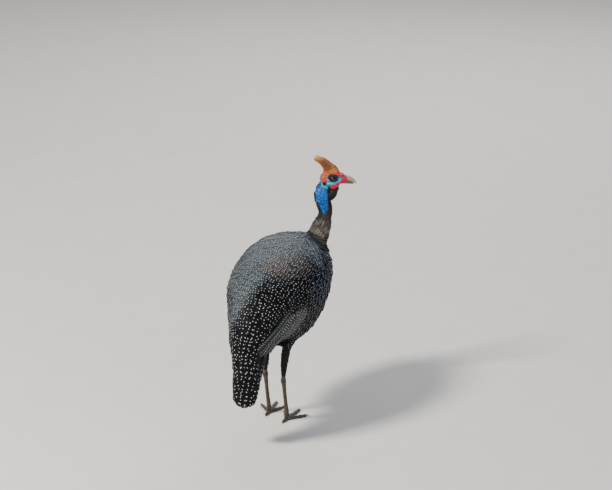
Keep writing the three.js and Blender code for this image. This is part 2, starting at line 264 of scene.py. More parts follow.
def strand(path, radii, way=1):
    """A rounded bead of clay along a path of x, y, z on the left of the head, or its mirror on the right."""
    path = np.array(path) * (way, 1, 1)
    stations = [(*point, r, r, r) for point, r in zip(path, radii)]
    first = (*path[0], 0, 0, 0)
    last = (*path[-1], 0, 0, 0)
    points, faces = loft([first, *stations, last], 10, 16, side=(0.3, 0.1, 1.0), ends=0.2)
    return on_head(points), faces


def ball(centre, radius):
    x, y, z = centre
    stations = [
        (x, y + radius * math.cos(turn), z, *([radius * math.sin(turn)] * 3))
        for turn in np.linspace(0, math.pi, 7)
    ]
    points, faces = loft(stations, 12, 8, side=(1, 0, 0), ends=0.0)
    return on_head(points), faces


EYE_LONG = 6.9  # lid opening, fore and aft
EYE_TALL = 5.3
LID = 1.35


def lid(x, start, end, thickness):
    share = np.linspace(0, 1, 9)
    turn = np.radians(start + (end - start) * share)
    tuck = 1.0 - 0.14 * np.abs(np.cos(turn))
    path = np.stack([x * tuck, -EYE_LONG * np.cos(turn), EYE_TALL * np.sin(turn)], axis=1)
    return strand(path, thickness * (0.6 + 0.4 * np.sin(share * np.pi)))


EAR = [(8.4, 14.5 + 2.6 * math.cos(turn), -9.5 + 3.0 * math.sin(turn)) for turn in np.linspace(0.3, 5.9, 9)]
STRANDS = [
    # The brow ridge, from the red of the bill's base to behind the eye.
    ([(4.5, -19, 4.8), (7.4, -12.5, 6.8), (9.4, -4, 7.8), (9.6, 6, 6.8)], [1.7, 1.8, 1.7, 1.3]),
    # The fold that runs back from the gape, and the cheek under the eye.
    ([(5.0, -20, -5.8), (7.4, -14.5, -7.0), (9.2, -7.5, -8.8), (9.6, 0, -10.5)], [1.5, 1.7, 1.8, 1.4]),
    ([(9.6, -8.5, -4.6), (10.4, -1, -7.2), (10.0, 7.5, -7.2), (8.6, 13, -4.4)], [1.3, 1.9, 1.9, 1.4]),
    # The rim of the ear.
    (EAR, [0.9] * len(EAR)),
]
CERE = [((3.4, -20.5, 1.4), 3.5), ((5.0, -17.5, -1.5), 3.8), ((3.0, -22.6, -1.6), 3.2)]  # round a nostril
SIDES = (("left", 1), ("right", -1))
clay = []
for _, way in SIDES:
    clay.append(lid(way * 10.9, 172, 8, LID * 1.15))
    clay.append(lid(way * 10.8, 188, 352, LID))
    clay += [strand(path, radii, way) for path, radii in STRANDS]
    clay += [ball((way * x, y, z), radius) for (x, y, z), radius in CERE]
flesh = [node_form(node, SEAM_FILL) for node in FLESH]
points, faces = gather(flesh)
points, faces = one_surface(swell(points), faces, SKIN_GRAIN)
points = relax(points, faces, 8)
points, faces = gather([(points, faces), *[(swell(form), sides) for form, sides in clay]])
points, faces = one_surface(points, faces, SKIN_GRAIN)
points = relax(points, faces, 1)
skin_points = unswell(points)
skin_faces = faces

# How far the skin lies under the feather tips, in each region.
BARE_Z = box_mm("neck_bare")[0][2]  # foot of the bare skin
THIGH_Z = box_mm("thigh_left")[1][2] - 12
away = np.linalg.norm(skin_points - HEAD_AT, axis=1)
height = skin_points[:, 2]
body_rounds = ramp(away, 45, 90)
skin_points = relax(skin_points, skin_faces, 14, body_rounds)
coat_depth = BODY_COAT + (NECK_COAT - BODY_COAT) * ramp(height, *NECK_THINS)
coat_depth = coat_depth * (1 - ramp(height, BARE_Z - 10, BARE_Z + 6))
below = (1 - ramp(height, THIGH_Z - 14, THIGH_Z + 6)) * (skin_points[:, 1] < box_mm("thigh_right")[1][1] + 12)
coat_depth = coat_depth + (LEG_COAT - coat_depth) * below
skin_normals = normals_of(skin_points, skin_faces)
skin_points = skin_points - skin_normals * coat_depth[:, None]
local = in_head(skin_points)


def wrinkle(points, spacing, seed):
    """A smooth, uneven ripple between -1 and 1 made of a few crossed waves of about one spacing."""
    draw = np.random.default_rng(seed)
    total = np.zeros(len(points))
    for _ in range(7):
        way = unit(draw.normal(size=3)) * draw.uniform(0.75, 1.3)
        total += np.sin(points @ way * (2 * np.pi / spacing) + draw.uniform(0, 2 * np.pi))
    return total / 4


# Papillae over the blue neck and cheek, and fine creases across them.
bare = ramp(height, BARE_Z + 4, BARE_Z + 16) * (away < 90)
bumps = 0.34 * np.abs(wrinkle(local * (1, 1, 0.8), 3.4, 3)) + 0.16 * wrinkle(local, 1.9, 4)
bumps += 0.18 * np.sin(local[:, 2] * 2 * np.pi / 3.1 + 1.6 * wrinkle(local, 9.0, 5))
near_eye = np.linalg.norm(local * (0, 1, 1.2), axis=1)
bumps = bumps * bare * (0.35 + 0.65 * ramp(near_eye, 8, 15))
skin_points = skin_points + normals_of(skin_points, skin_faces) * bumps[:, None]


def srgb(code):
    """A hex colour as linear light."""
    parts = np.array([int(code[i : i + 2], 16) / 255 for i in (1, 3, 5)])
    return np.where(parts <= 0.04045, parts / 12.92, ((parts + 0.055) / 1.055) ** 2.4)


def plain(code, points):
    return np.repeat(srgb(code)[None], len(points), axis=0)


def blend(colours, code, weight):
    return colours + (srgb(code) - colours) * np.clip(weight, 0, 1)[:, None]


def near_path(points, path, radius, soft):
    """One within a radius of a path of points, falling to zero over a soft edge."""
    path = np.asarray(path, float)
    best = np.full(len(points), 1e9)
    for a, b in zip(path, path[1:]):
        run = b - a
        share = np.clip((points - a) @ run / (run @ run), 0, 1)
        best = np.minimum(best, np.linalg.norm(points - a - share[:, None] * run, axis=1))
    return 1 - ramp(best, radius, radius + soft)


# The plumage's tones, shared by the skin and the feathers over it; a few of them are painted light, as said
# where they are made.
PALE = "#444c52"  # mantle
SLATE = "#1f242b"
BLACK = "#020306"
BROWN = "#453931"
SHOULDER_HIGHLIGHT = "#66727e"
NAVY_SHEEN = "#0a1830"
COLLAR_GREY = "#524d49"
COLLAR_PALE = "#a1947f"
COLLAR_DARK = "#0a090c"
COLLAR_BACK = -72.0
COLLAR_Z = 284.8  # height of the collar's foot under the neck


def collar_height(points):
    """How far a place is above the collar's foot, which dips to the right and forward as the neck turns."""
    lean = (points + (24, 140, 0)) @ (-0.657, -0.467, 1.0)
    return lean - COLLAR_Z


def darkness(points):
    """Nought on the pale mantle, one on the black flanks, belly, rump and tail; the pale runs further down
    the bird's left side partly as painted light, as that side is lit.
    """
    x, y, z = points.T
    # Painted light: the edge of the dark is set lower on the bird's left, greater x, because that side is lit
    # and glossy; past the left side's outline it rises again as on the right.
    edge = np.clip(264 - 1.7 * (x + 2) - 0.2 * (y - 136), 200, 297)
    left = 56 - 36 * ramp(-y, 10, 120)
    edge = np.where(x > left, np.minimum(edge + (x - left) * 3.5, 288), edge)
    edge = edge - 6 * (1 - ramp(y, -110, 0))
    dark = ramp(edge - z, -18, 40)
    # The left flank's rear, where the pale mantle and the painted light of the lit left side run down, is in
    # between.
    return np.maximum(dark, 0.5 * ramp(x, 8, 40) * ramp(y, -90, -40) * ramp(278 - z, 0, 30))


def plumage(points, jitter):
    x, y, z = points.T
    dark = darkness(points)
    colours = plain(PALE, points)
    colours = blend(colours, SLATE, ramp(dark, 0.0, 0.55))
    colours = blend(colours, BROWN, 0.5 * near_path(points, [(-30, 70, 300), (-52, 30, 292)], 14, 22))
    colours = blend(colours, BLACK, ramp(dark, 0.35, 0.85))
    # Painted sheen: a navy tint on the black of the right flank, where light glances off it.
    colours = blend(colours, NAVY_SHEEN, 0.6 * dark * near_path(points, [(-64, -70, 276), (-78, -10, 250)], 18, 34))
    # Painted highlight: a pale blue-grey patch on each shoulder, where light catches the feathers.
    shoulder = near_path(np.stack([np.abs(x), y, z], axis=1), [(58, -36, 300), (68, -26, 284)], 5, 14)
    colours = blend(colours, SHOULDER_HIGHLIGHT, 0.4 * shoulder)
    # Painted shade: a dark band at the collar's foot, where the collar's feathers lap over the mantle.
    neck = ramp(collar_height(points), -1, 3) * (y < COLLAR_BACK)
    colours = blend(colours, COLLAR_DARK, neck)
    neck = ramp(collar_height(points), 3, 8) * (y < COLLAR_BACK)
    colours = blend(colours, COLLAR_GREY, neck)
    return colours * (1 + jitter)[:, None]


skin_colours = plumage(skin_points, 0.2 * wrinkle(skin_points, 9, 11))
front = -local[:, 1]
rise = local[:, 2]
on_face = away < 46
shake = 1.2 * wrinkle(local, 6, 21) + 0.5 * wrinkle(local, 2.2, 22)


def paint(code, weight):
    skin_colours[:] = blend(skin_colours, code, weight)


def patch(path, radius, soft):
    """Either side of the head near a path, whose points are given as millimetres back and up."""
    return near_path(local[:, 1:], path, radius, soft) * on_face


def flecks(spacing, seed, start, end, way=1):
    return ramp(way * wrinkle(local, spacing, seed), start, end)


def blue_edges(height):
    """Back and front edge of the blue on the neck, which narrows to a point below."""
    back = -33.5 + 10.5 * ramp(-height, 38, 50) + 8.0 * ramp(-height, 50, 68)
    return back, -8.6 - 6.4 * ramp(-height, 50, 68)


# Lower neck: dark, short-feathered, with the blue running down into it as a point.
bare_neck = ramp(height, BARE_Z - 4, BARE_Z + 4)
paint("#2b2a2e", bare_neck)
blue_back, blue_front = blue_edges(rise)
blue = ramp(front - blue_back + shake, -1.2, 1.2) * (1 - ramp(front - blue_front + shake, -1.2, 1.2))
blue = blue * (1 - ramp(-rise, 63, 68)) * bare_neck
paint("#0050a8", blue)
bright = ramp(wrinkle(local, 4.5, 23) + 0.3 * wrinkle(local, 2.2, 24), -0.1, 0.8)
paint("#0096f0", 0.7 * blue * bright)
paint("#031433", 0.85 * blue * flecks(5.2, 25, 0.2, 1.0, -1))
face = ramp(rise, -17, -9) * on_face
paint("#0f6fb4", face)
paint("#0a3f86", 0.6 * face * flecks(4.0, 26, 0.1, 0.9))
# Turquoise cheek, palest along the fold under the eye.
paint("#05a5c8", patch([(14, -8), (9, -12), (3, -11), (-11, -4)], 4.8, 3.0))
paint("#3fd2ee", 0.85 * patch([(12, -7.0), (3, -8.6), (-6, -6.4), (-11, -4.2)], 1.5, 2.0))
paint("#1fa8c4", 0.8 * patch([(4, -20), (6, -16)], 2, 2))
# Nape and crown under the fine black feathers, and the crown's horn-coloured rim round the casque.
paint("#1e242a", ramp(local[:, 1] + 0.6 * rise, 22.5, 25.5) * ramp(rise, -14, -4))
paint("#a94f1f", ramp(rise + 0.10 * front + shake * 0.5, 4.5, 7.0) * on_face)
behind = patch([(15, 8), (17, 1), (15, -3)], 4.6, 1.4)
paint("#a3501f", behind)
paint("#6b3014", 0.7 * behind * flecks(3.2, 33, 0.0, 0.8))
# Red of the cere, the brow, the gape and the edge behind the eye, broken up by its papillae.
red = ramp(front, 18.5, 20.5) * ramp(rise, -16, -12)
for strength, path, radius, soft in (
    (1.0, [(-23.5, 2.4), (-19.5, -0.5), (-18.5, -4.5)], 4.4, 1.2),
    (0.9, [(-20, 6.0), (-12, 7.4), (-3, 8.4)], 1.3, 1.4),
    (1.0, [(-25, -7.6), (-17, -6.4), (-11, -7.4), (-5, -10)], 2.3, 1.0),
    (0.8, [(9.5, 7.0), (11.5, 3.5), (11.5, -3.5)], 0.5, 0.9),
):
    red = np.maximum(red, strength * patch(path, radius, soft))
red = red * (0.8 + 0.3 * flecks(3.0, 31, -0.6, 0.4)) * on_face
paint("#c60034", red)
paint("#f04874", 0.45 * red * flecks(2.4, 32, 0.3, 1.0))
paint("#6e0a16", 0.5 * red * flecks(2.4, 32, 0.3, 1.0, -1))
# Dark lids, widest above the eye, a pale blue rim under them, and the ear's opening painted dark as the shade
# of its hollow, which isn't made.
paint("#0a1622", patch([(3.0, 2.2), (-2.5, 2.0)], 6.4, 1.4))
paint("#1f9ccc", 0.85 * patch([(9.6, 0.5), (5.5, -5.0), (-1, -6.6), (-8, -3.8)], 0.9, 1.2))
# Painted shade: the ear's opening is filled near black inside its rim.
paint("#08120f", patch([(15, -8.5), (15.1, -8.5)], 2.8, 1.2) * (np.abs(local[:, 0]) > 4))
# Throat lobe and the front of the neck, in black velvet.
throat = near_path(local[:, 1:], [(-5, -19), (-1.5, -30), (1, -36)], 8.0, 1.6)
paint("#161413", throat * (1 - ramp(rise, -19, -14)) * (away < 60))


class Finish:
    """A material's nodes, added one at a time with their settings and links."""

    def __init__(self, name):
        self.material = bpy.data.materials.new(name)
        self.material.use_nodes = True
        self.tree = self.material.node_tree
        self.shader = self.tree.nodes["Principled BSDF"]

    def add(self, kind, settings=None, **inputs):
        """Adds a node; an input is a value, or the node or socket whose output feeds it."""
        made = self.tree.nodes.new("ShaderNode" + kind)
        for key, value in (settings or {}).items():
            if key == "stops":
                stops = made.color_ramp.elements
                stops[0].position = value[0][0]
                stops[1].position = value[-1][0]
                for position, _ in value[1:-1]:
                    stops.new(position)
                for stop, (_, code) in zip(stops, value):
                    stop.color = (*srgb(code), 1)
            else:
                setattr(made, key, value)
        self.feed(made, inputs)
        return made

    def feed(self, node, inputs):
        for key, value in inputs.items():
            socket = node.inputs[int(key[1:])] if key[0] == "_" else node.inputs[key.replace("_", " ")]
            if isinstance(value, bpy.types.Node):
                value = value.outputs[0]
            if isinstance(value, bpy.types.NodeSocket):
                self.tree.links.new(value, socket)
            else:
                socket.default_value = value

    def shade(self, **inputs):
        self.feed(self.shader, inputs)


def per_mm(size):
    """Noise scale, in waves to the metre, for a grain of this size in millimetres."""
    return 1 / (size * MM)


def grained(finish, tint, size_mm, low, high, **noise):
    """Varies a colour with a noise of a real size; gives the noise and the toned colour."""
    place = finish.add("TexCoord").outputs["Object"]
    grain = finish.add("TexNoise", Vector=place, Scale=per_mm(size_mm), **noise)
    shift = finish.add("MapRange", _0=grain, _1=0.3, _2=0.7, _3=low, _4=high)
    return grain, finish.add("VectorMath", {"operation": "SCALE"}, _0=tint, Scale=shift)


def mottled(finish, size_mm, stops, **noise):
    """A noise of a real size, and a colour that wanders with it between two stops."""
    place = finish.add("TexCoord").outputs["Object"]
    patches = finish.add("TexNoise", Vector=place, Scale=per_mm(size_mm), **noise)
    return patches, finish.add("ValToRGB", {"stops": stops}, _0=patches)


# Bare skin: soft, slightly damp hide with a fine grain, so it is half matt with a faint gloss.
hide = Finish("bare_bird_skin")
tint = hide.add("VertexColor", {"layer_name": "markings"})
grain, toned = grained(hide, tint, 1.6, 0.72, 1.22, Detail=3.0, Roughness=0.6)
place = hide.add("TexCoord").outputs["Object"]
pores = hide.add("TexVoronoi", Vector=place, Scale=per_mm(1.3))
bump = hide.add("Bump", Strength=0.25, Distance=0.0004, Height=pores)
damp = hide.add("MapRange", _0=grain, _1=0.3, _2=0.7, _3=0.42, _4=0.62)
hide.shade(Base_Color=toned, Roughness=damp, Normal=bump)
hide.shade(Subsurface_Weight=0.08, Subsurface_Scale=0.002, IOR=1.42)

skin = new_object("skin", skin_points, skin_faces, [hide.material], skin_colours)
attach(skin, "root")
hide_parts(*FLESH)
skin_tree = BVHTree.FromPolygons(skin_points.tolist(), skin_faces)


# Eyes. Each is a bird's eyeball with a clear bulging front over a dark brown iris, set back behind the
# lids, which hold it. Here it is one closed ball whose rings of colour run out from the pupil.
EYE_RADIUS = 5.5
EYE_BULGE = 0.5

# A wet cornea over a brown iris: dark and clear, with one small soft glint.
wet_eye = Finish("wet_eye")
turn_in = wet_eye.add("VertexColor", {"layer_name": "markings"})
pupil_and_iris = [(0.0, "#070707"), (0.27, "#050304"), (0.31, "#3a2012"), (0.50, "#24130b")]
white_of_eye = [(0.56, "#0b0c10"), (1.0, "#30343c")]
rings = wet_eye.add("ValToRGB", {"stops": pupil_and_iris + white_of_eye}, _0=turn_in)
_, toned = grained(wet_eye, rings, 0.5, 0.75, 1.3, Detail=2.0)
wet_eye.shade(Base_Color=toned, Roughness=0.14, IOR=1.36)
wet_eye.shade(Coat_Weight=0.4, Coat_Roughness=0.05)
for name, way in SIDES:
    rows = []
    for turn in np.linspace(0, math.pi, 25):
        bulge = EYE_BULGE * math.exp(-((turn / 0.6) ** 2))
        reach = EYE_RADIUS + bulge
        rows.append((way * reach * math.cos(turn), 0, 0, *([reach * math.sin(turn)] * 3)))
    form, sides = loft(rows, 48, 32, side=(0, 1, 0), ends=0.0)
    angle = np.arccos(np.clip(way * unit(form)[:, 0], -1, 1)) / (math.pi / 2)
    turned = np.repeat(np.clip(angle, 0, 1)[:, None], 3, axis=1)
    eye = new_object("eyeball_" + name, EYES[name] + form @ HEAD_TURN, sides, [wet_eye.material], turned)
    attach(eye, "root")
    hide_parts("eye_" + name)


# Bill. Two horn sheaths over bone, the upper one arched and hooked over the lower at the tip, grown in
# layers: grey-pink where it meets the red skin, and rubbed pale at the tip.
UPPER_BILL = [
    (0, -15.5, -1.8, 0, 0, 0),
    (0, -17, -2.0, 7.4, 3.4, 5.0),
    (0, -24, -2.2, 6.9, 3.6, 5.1),
    (0, -30, -3.2, 5.8, 3.6, 4.4),
    (0, -35, -5.2, 4.3, 3.2, 3.3),
    (0, -38.6, -8.0, 2.6, 2.2, 2.0),
    (0, -40.6, -10.2, 1.2, 1.0, 1.0),
    (0, -41.4, -11.4, 0, 0, 0),
]
LOWER_BILL = [
    (0, -14.5, -7.6, 0, 0, 0),
    (0, -16, -7.6, 2.4, 2.9, 4.7),
    (0, -23, -8.0, 2.1, 2.8, 4.3),
    (0, -29, -8.9, 1.9, 2.4, 3.4),
    (0, -34, -9.9, 1.5, 1.7, 2.3),
    (0, -36.4, -10.8, 0.6, 0.7, 0.8),
    (0, -37, -11.0, 0, 0, 0),
]


def bill_growth(share, angle):
    return 0.10 * np.sin(share * 2 * np.pi * 9 + 0.8 * np.sin(angle * 2)) * (share < 0.7)


# Grown horn, polished by use: half gloss, worn duller in patches.
horn_bill = Finish("horn_bill")
tint = horn_bill.add("VertexColor", {"layer_name": "markings"})
layers, toned = grained(horn_bill, tint, 2.2, 0.8, 1.16, Detail=4.0, Roughness=0.55)
worn = horn_bill.add("MapRange", _0=layers, _1=0.3, _2=0.7, _3=0.34, _4=0.55)
bump = horn_bill.add("Bump", Strength=0.15, Distance=0.0003, Height=layers)
horn_bill.shade(Base_Color=toned, Roughness=worn, Normal=bump)
horn_bill.shade(IOR=1.54, Subsurface_Weight=0.05, Subsurface_Scale=0.001)
for name, stations in (("upper", UPPER_BILL), ("lower", LOWER_BILL)):
    form, sides = loft(stations, 40, 48, side=(1, 0, 0), power=2.2, ends=0.15, relief=bill_growth)
    reach = -form[:, 1]
    colours = plain("#a88474", form)
    colours = blend(colours, "#c06a66", 1 - ramp(reach, 19, 27))
    colours = blend(colours, "#c9b3a2", 0.5 * near_path(form, [(0, -27, 3), (0, -34, -1)], 1.6, 2.4))
    colours = blend(colours, "#b9b592", ramp(reach + form[:, 2] * 0.3, 31, 37))
    if name == "lower":
        colours = blend(colours, "#5d5048", 0.6 * np.ones(len(form)))
    piece = new_object("bill_sheath_" + name, on_head(form), sides, [horn_bill.material], colours)
    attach(piece, "root")
    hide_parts("bill_" + name)


# Casque. A bony knob on the crown, sheathed in dull orange-brown horn with rough growth rings, thickest
# at its base and rubbed pale along the tip. Its lower edge laps down behind the eye.
CASQUE = [
    (0, 3, -2, 0, 0, 0),
    (0, 3, 1, 15.5, 17.5, 7.7),
    (0, 3.5, 7, 16.5, 17.5, 7.5),
    (0, 5.5, 14.5, 13.6, 14.2, 6.3),
    (0, 11, 22.5, 9.6, 9.2, 5.2),
    (0, 19.6, 31, 7.2, 6.6, 4.5),
    (0, 26.2, 35.6, 5.2, 6.6, 4.2),
    (0, 30.6, 37.6, 4.0, 5.4, 3.6),
    (0, 33.4, 39.0, 0, 0, 0),
]


def casque_growth(share, angle):
    rings = 0.22 * np.sin(share * 2 * np.pi * 17 + 1.2 * np.sin(angle) + 0.8 * np.sin(2 * angle + 3))
    furrows = 0.35 * np.sin(angle * 3 + share * 5) * np.sin(share * np.pi)
    lumps = 0.25 * np.sin(share * 23 + np.cos(angle * 5) * 1.3)
    return (rings + lumps) * ramp(share, 0.1, 0.3) * (1 - ramp(share, 0.75, 0.98)) + furrows


# Dull, blotched horn, matt where it is rough and only faintly glossy where it is rubbed.
horn_casque = Finish("casque_horn")
place = horn_casque.add("TexCoord").outputs["Object"]
tint = horn_casque.add("VertexColor", {"layer_name": "markings"})
blotch = horn_casque.add("TexNoise", Vector=place, Scale=per_mm(5.0), Detail=5.0, Roughness=0.65)
rough = horn_casque.add("TexNoise", Vector=place, Scale=per_mm(0.9), Detail=3.0)
both = horn_casque.add("Math", {"operation": "MULTIPLY_ADD"}, _0=rough, _1=0.4, _2=blotch)
shift = horn_casque.add("MapRange", _0=both, _1=0.5, _2=0.9, _3=0.5, _4=1.35)
toned = horn_casque.add("VectorMath", {"operation": "SCALE"}, _0=tint, Scale=shift)
bump = horn_casque.add("Bump", Strength=0.4, Distance=0.0005, Height=rough)
worn = horn_casque.add("MapRange", _0=rough, _1=0.3, _2=0.7, _3=0.5, _4=0.75)
horn_casque.shade(Base_Color=toned, Roughness=worn, Normal=bump, IOR=1.48)
form, sides = loft(CASQUE, 64, 72, side=(1, 0, 0), power=2.3, ends=0.2, relief=casque_growth)
colours = plain("#8f5527", form)
colours = blend(colours, "#5f2f14", near_path(form * (0, 1, 1), [(0, 6, 16), (0, 16, 28)], 2.5, 5.0) * 0.8)
colours = blend(colours, "#bd9462", 0.85 * ramp(form[:, 2] + 0.35 * form[:, 1], 40, 49))
colours = blend(colours, "#c8762e", 0.6 * near_path(form * (0, 1, 1), [(0, -12, 15), (0, 4, 12)], 3.0, 4.0))
colours = blend(colours, "#b8321f", 0.7 * (1 - ramp(form[:, 2] - 0.25 * form[:, 1], 7.5, 11)))
casque = new_object("casque_sheath", on_head(form), sides, [horn_casque.material], colours)
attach(casque, "root")
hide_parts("casque")


# Wattles. A flat, fleshy red lobe that grows from the skin at each corner of the gape and hangs back
# under the cheek, smooth and swollen, its hind end free.
WATTLE = [
    (0, -17, -5.6, 0, 0, 0),
    (0, -15, -6.2, 1.2, 1.4, 0.9),
    (0, -11, -8.2, 2.2, 2.2, 1.3),
    (0, -6.5, -11.0, 2.8, 3.2, 1.7),
    (0, -1.8, -13.2, 4.2, 4.2, 1.8),
    (0, 2.6, -13.4, 3.0, 3.0, 1.5),
    (0, 6.2, -13.4, 0, 0, 0),
]
WATTLE_OUT = 10.6
WATTLE_TOE = math.radians(12)

# Swollen wet-looking flesh: full red that light passes into a little, with a soft gloss and fine bumps.
fleshy = Finish("fleshy_red_wattle")
blotch, reds = mottled(fleshy, 2.6, [(0.3, "#9a001c"), (0.7, "#dc0c38")], Detail=4.0)
bump = fleshy.add("Bump", Strength=0.3, Distance=0.0004, Height=blotch)
fleshy.shade(Base_Color=reds, Normal=bump, Roughness=0.42)
fleshy.shade(Subsurface_Weight=0.15, Subsurface_Scale=0.002, IOR=1.42)
for name, way in SIDES:
    form, sides = loft(WATTLE, 24, 32, side=(1, 0, 0), ends=0.3)
    ripple = 0.25 * wrinkle(form, 4.0, 41)
    form = form + unit(form - form.mean(axis=0)) * ripple[:, None]
    c, s = math.cos(-way * WATTLE_TOE), math.sin(-way * WATTLE_TOE)
    form = form @ np.array([[c, s, 0], [-s, c, 0], [0, 0, 1]]) + (way * WATTLE_OUT, 0, 0)
    form, sides = outward(form, sides)
    piece = new_object("wattle_lobe_" + name, on_head(form), sides, [fleshy.material])
    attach(piece, "root")
    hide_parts("wattle_" + name)


# Legs. Bare horn-scaled shanks and toes: broad plates in front, small scales behind, and soft pads
# underneath that lie flat on the floor. Dark horn claws, worn and slightly curved, end the toes.
TOES = ("middle", "inner", "outer", "hind")
KNUCKLES = 3
PLATE = 3.0  # height of one plate down the front of the shank

# Dry brown horn in small scales, darker in the joints between them, half matt.
scaled = Finish("scaled_leg_horn")
place = scaled.add("TexCoord").outputs["Object"]
cells = scaled.add("TexVoronoi", {"feature": "DISTANCE_TO_EDGE"}, Vector=place, Scale=per_mm(2.0))
edge = scaled.add("MapRange", _0=cells, _1=0.0, _2=0.12, _3=0.45, _4=1.0)
_, browns = mottled(scaled, 7.0, [(0.3, "#2a211c"), (0.75, "#5d4b3e")], Detail=3.0)
toned = scaled.add("VectorMath", {"operation": "SCALE"}, _0=browns, Scale=edge)
bump = scaled.add("Bump", Strength=0.5, Distance=0.0004, Height=edge)
scaled.shade(Base_Color=toned, Normal=bump, Roughness=0.5, IOR=1.5)

# Dark horn, scratched and polished by walking, with more gloss than the scales.
claw_horn = Finish("claw_horn")
_, darks = mottled(claw_horn, 1.5, [(0.3, "#191411"), (0.7, "#4a3f36")], Detail=3.0)
claw_horn.shade(Base_Color=darks, Roughness=0.38, IOR=1.54)

leg_forms = []
legs = {}
for name, way in SIDES:
    low, high = box_mm("shank_" + name)
    x = (low[0] + high[0]) / 2
    foot_y = low[1] + 4.9
    hock_y = foot_y + 16
    hock_z = high[2] - 2.6
    legs[name] = (x, foot_y, hock_y, hock_z)
    shank = [
        (x, hock_y, hock_z + 12, 0, 0, 0),
        (x, hock_y, hock_z + 9, 2.6, 2.6, 2.6),
        (x, hock_y, hock_z + 3, 4.6, 3.8, 3.9),
        (x, hock_y, hock_z - 3, 5.8, 4.9, 4.7),
        (x, hock_y - 3, hock_z - 14, 4.3, 3.9, 3.5),
        (x, hock_y - 9, hock_z - 42, 3.8, 3.6, 3.1),
        (x, hock_y - 15, 16, 4.3, 4.1, 3.9),
        (x, foot_y, 7, 4.9, 4.9, 4.7),
        (x, foot_y - 1, 3.4, 3.4, 3.4, 3.4),
        (x, foot_y - 1, 0.6, 0, 0, 0),
    ]
    length = hock_z + 10

    def plates(share, angle, length=length):
        saw = (share * length / PLATE) % 1.0
        step = 0.34 * (1 - saw) ** 0.5 * (saw > 0.06)
        ahead = ramp(np.sin(angle), -0.1, 0.35)
        behind = 0.14 * np.sin(share * length * 2.6) * np.sin(angle * 9)
        return step * ahead + behind * (1 - ahead)

    leg_forms.append(loft(shank, 36, 150, side=(1, 0, 0), top=(0, -1, 0), ends=0.1, relief=plates))
    for toe in TOES:
        claw_mid = middle_mm(f"claw_{name}_{toe}")
        start = np.array([x, foot_y, 0.0])
        heading = unit((claw_mid - start) * (1, 1, 0))
        reach = (claw_mid - start) @ heading
        claw_long = 8.8 if toe == "hind" else 11.0
        length = reach - claw_long / 2 + 2.5
        radius = {"middle": 3.7, "hind": 3.2}.get(toe, 3.4)
        stations = [(*start + UP * 2.6, 0, 0, 0)]
        for i in range(KNUCKLES * 4 + 1):
            share = i / (KNUCKLES * 4)
            pad = 1 + 0.14 * math.sin(share * KNUCKLES * 2 * math.pi + 0.6)
            r = radius * (1.12 - 0.4 * share) * pad
            at = start + heading * (length * share) + UP * (2.1 + 0.032 * length * (1 - share) ** 2)
            stations.append((*at, r, r, r))
        end = start + heading * (length + 0.8) + UP * 2.3
        stations.append((*end, 0, 0, 0))

        def rings(share, angle, length=length):
            saw = (share * length / 2.4) % 1.0
            return 0.22 * (1 - saw) ** 0.5 * (saw > 0.07) * ramp(np.sin(angle), 0.1, 0.5)

        side = np.cross(UP, heading)
        form, sides = loft(stations, 24, 60, side=side, ends=0.15, relief=rings)
        form[:, 2] = np.maximum(form[:, 2], 0.0)
        leg_forms.append((form, sides))
        tip = start + heading * (length - 3.0)
        curve = [(*tip + UP * 3.2, 0, 0, 0)]
        for share in np.linspace(0.05, 0.95, 7):
            r = 2.1 - 1.75 * share**1.2
            at = tip + heading * (claw_long * share) + UP * (3.3 - 2.4 * share**2)
            curve.append((*at, r, r, r * 0.85))
        curve.append((*tip + heading * claw_long + UP * 0.9, 0, 0, 0))
        form, sides = loft(curve, 16, 20, side=side, ends=0.1)
        form[:, 2] = np.maximum(form[:, 2], 0.0)
        claw = new_object(f"claw_sheath_{name}_{toe}", form, sides, [claw_horn.material])
        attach(claw, "root")
        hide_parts(f"claw_{name}_{toe}")
form, sides = gather(leg_forms)
leg_skin = new_object("leg_scales", form, sides, [scaled.material])
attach(leg_skin, "root")
leg_nodes = ["shank_left", "shank_right"]
leg_nodes += [f"toe_{name}_{toe}" for name in legs for toe in TOES]
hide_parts(*leg_nodes)

# The coat. Each contour feather is a soft vane on a fine shaft, rooted in the skin and lapped like a
# shingle over the ones behind it, from the neck to the tail. White spots are part of the vane's barbs, so
# they follow its curve; here they are thin lenses let into it. The feathers are finest near the head.
LIE = [
    # x, y, z of the line that the rows of feathers ring, from the back of the head to the tail's tip
    (-30, -153, 389),
    (-26, -151, 373),
    (-27, -151, 357),
    (-31, -153, 340),
    (-31, -153, 326),
    (-26, -151, 312),
    (-21, -147, 297),
    (-12, -134, 280),
    (-6, -112, 262),
    (-2, -78, 250),
    (0, -40, 244),
    (0, 3, 240),
    (-2, 51, 232),
    (-4, 93, 212),
    (-4, 122, 182),
    (-4, 137, 148),
    (-3, 146, 117),
    (-2, 152, 94),
    (-1, 156, 78),
]
LEFTWARD = np.array([1.0, 0.0, 0.0])
CANDIDATE = 1.6  # spacing at which places for a root are tried
ROOT_CELL = 6.0  # roots are looked up in cells of this size
BREAST_FALL = 1.5  # how strongly the breast feathers fall, against running along the line
RAYS = 90  # tried round the line where none has met the skin
LINE_POINTS = 1200
rng = np.random.default_rng(12)


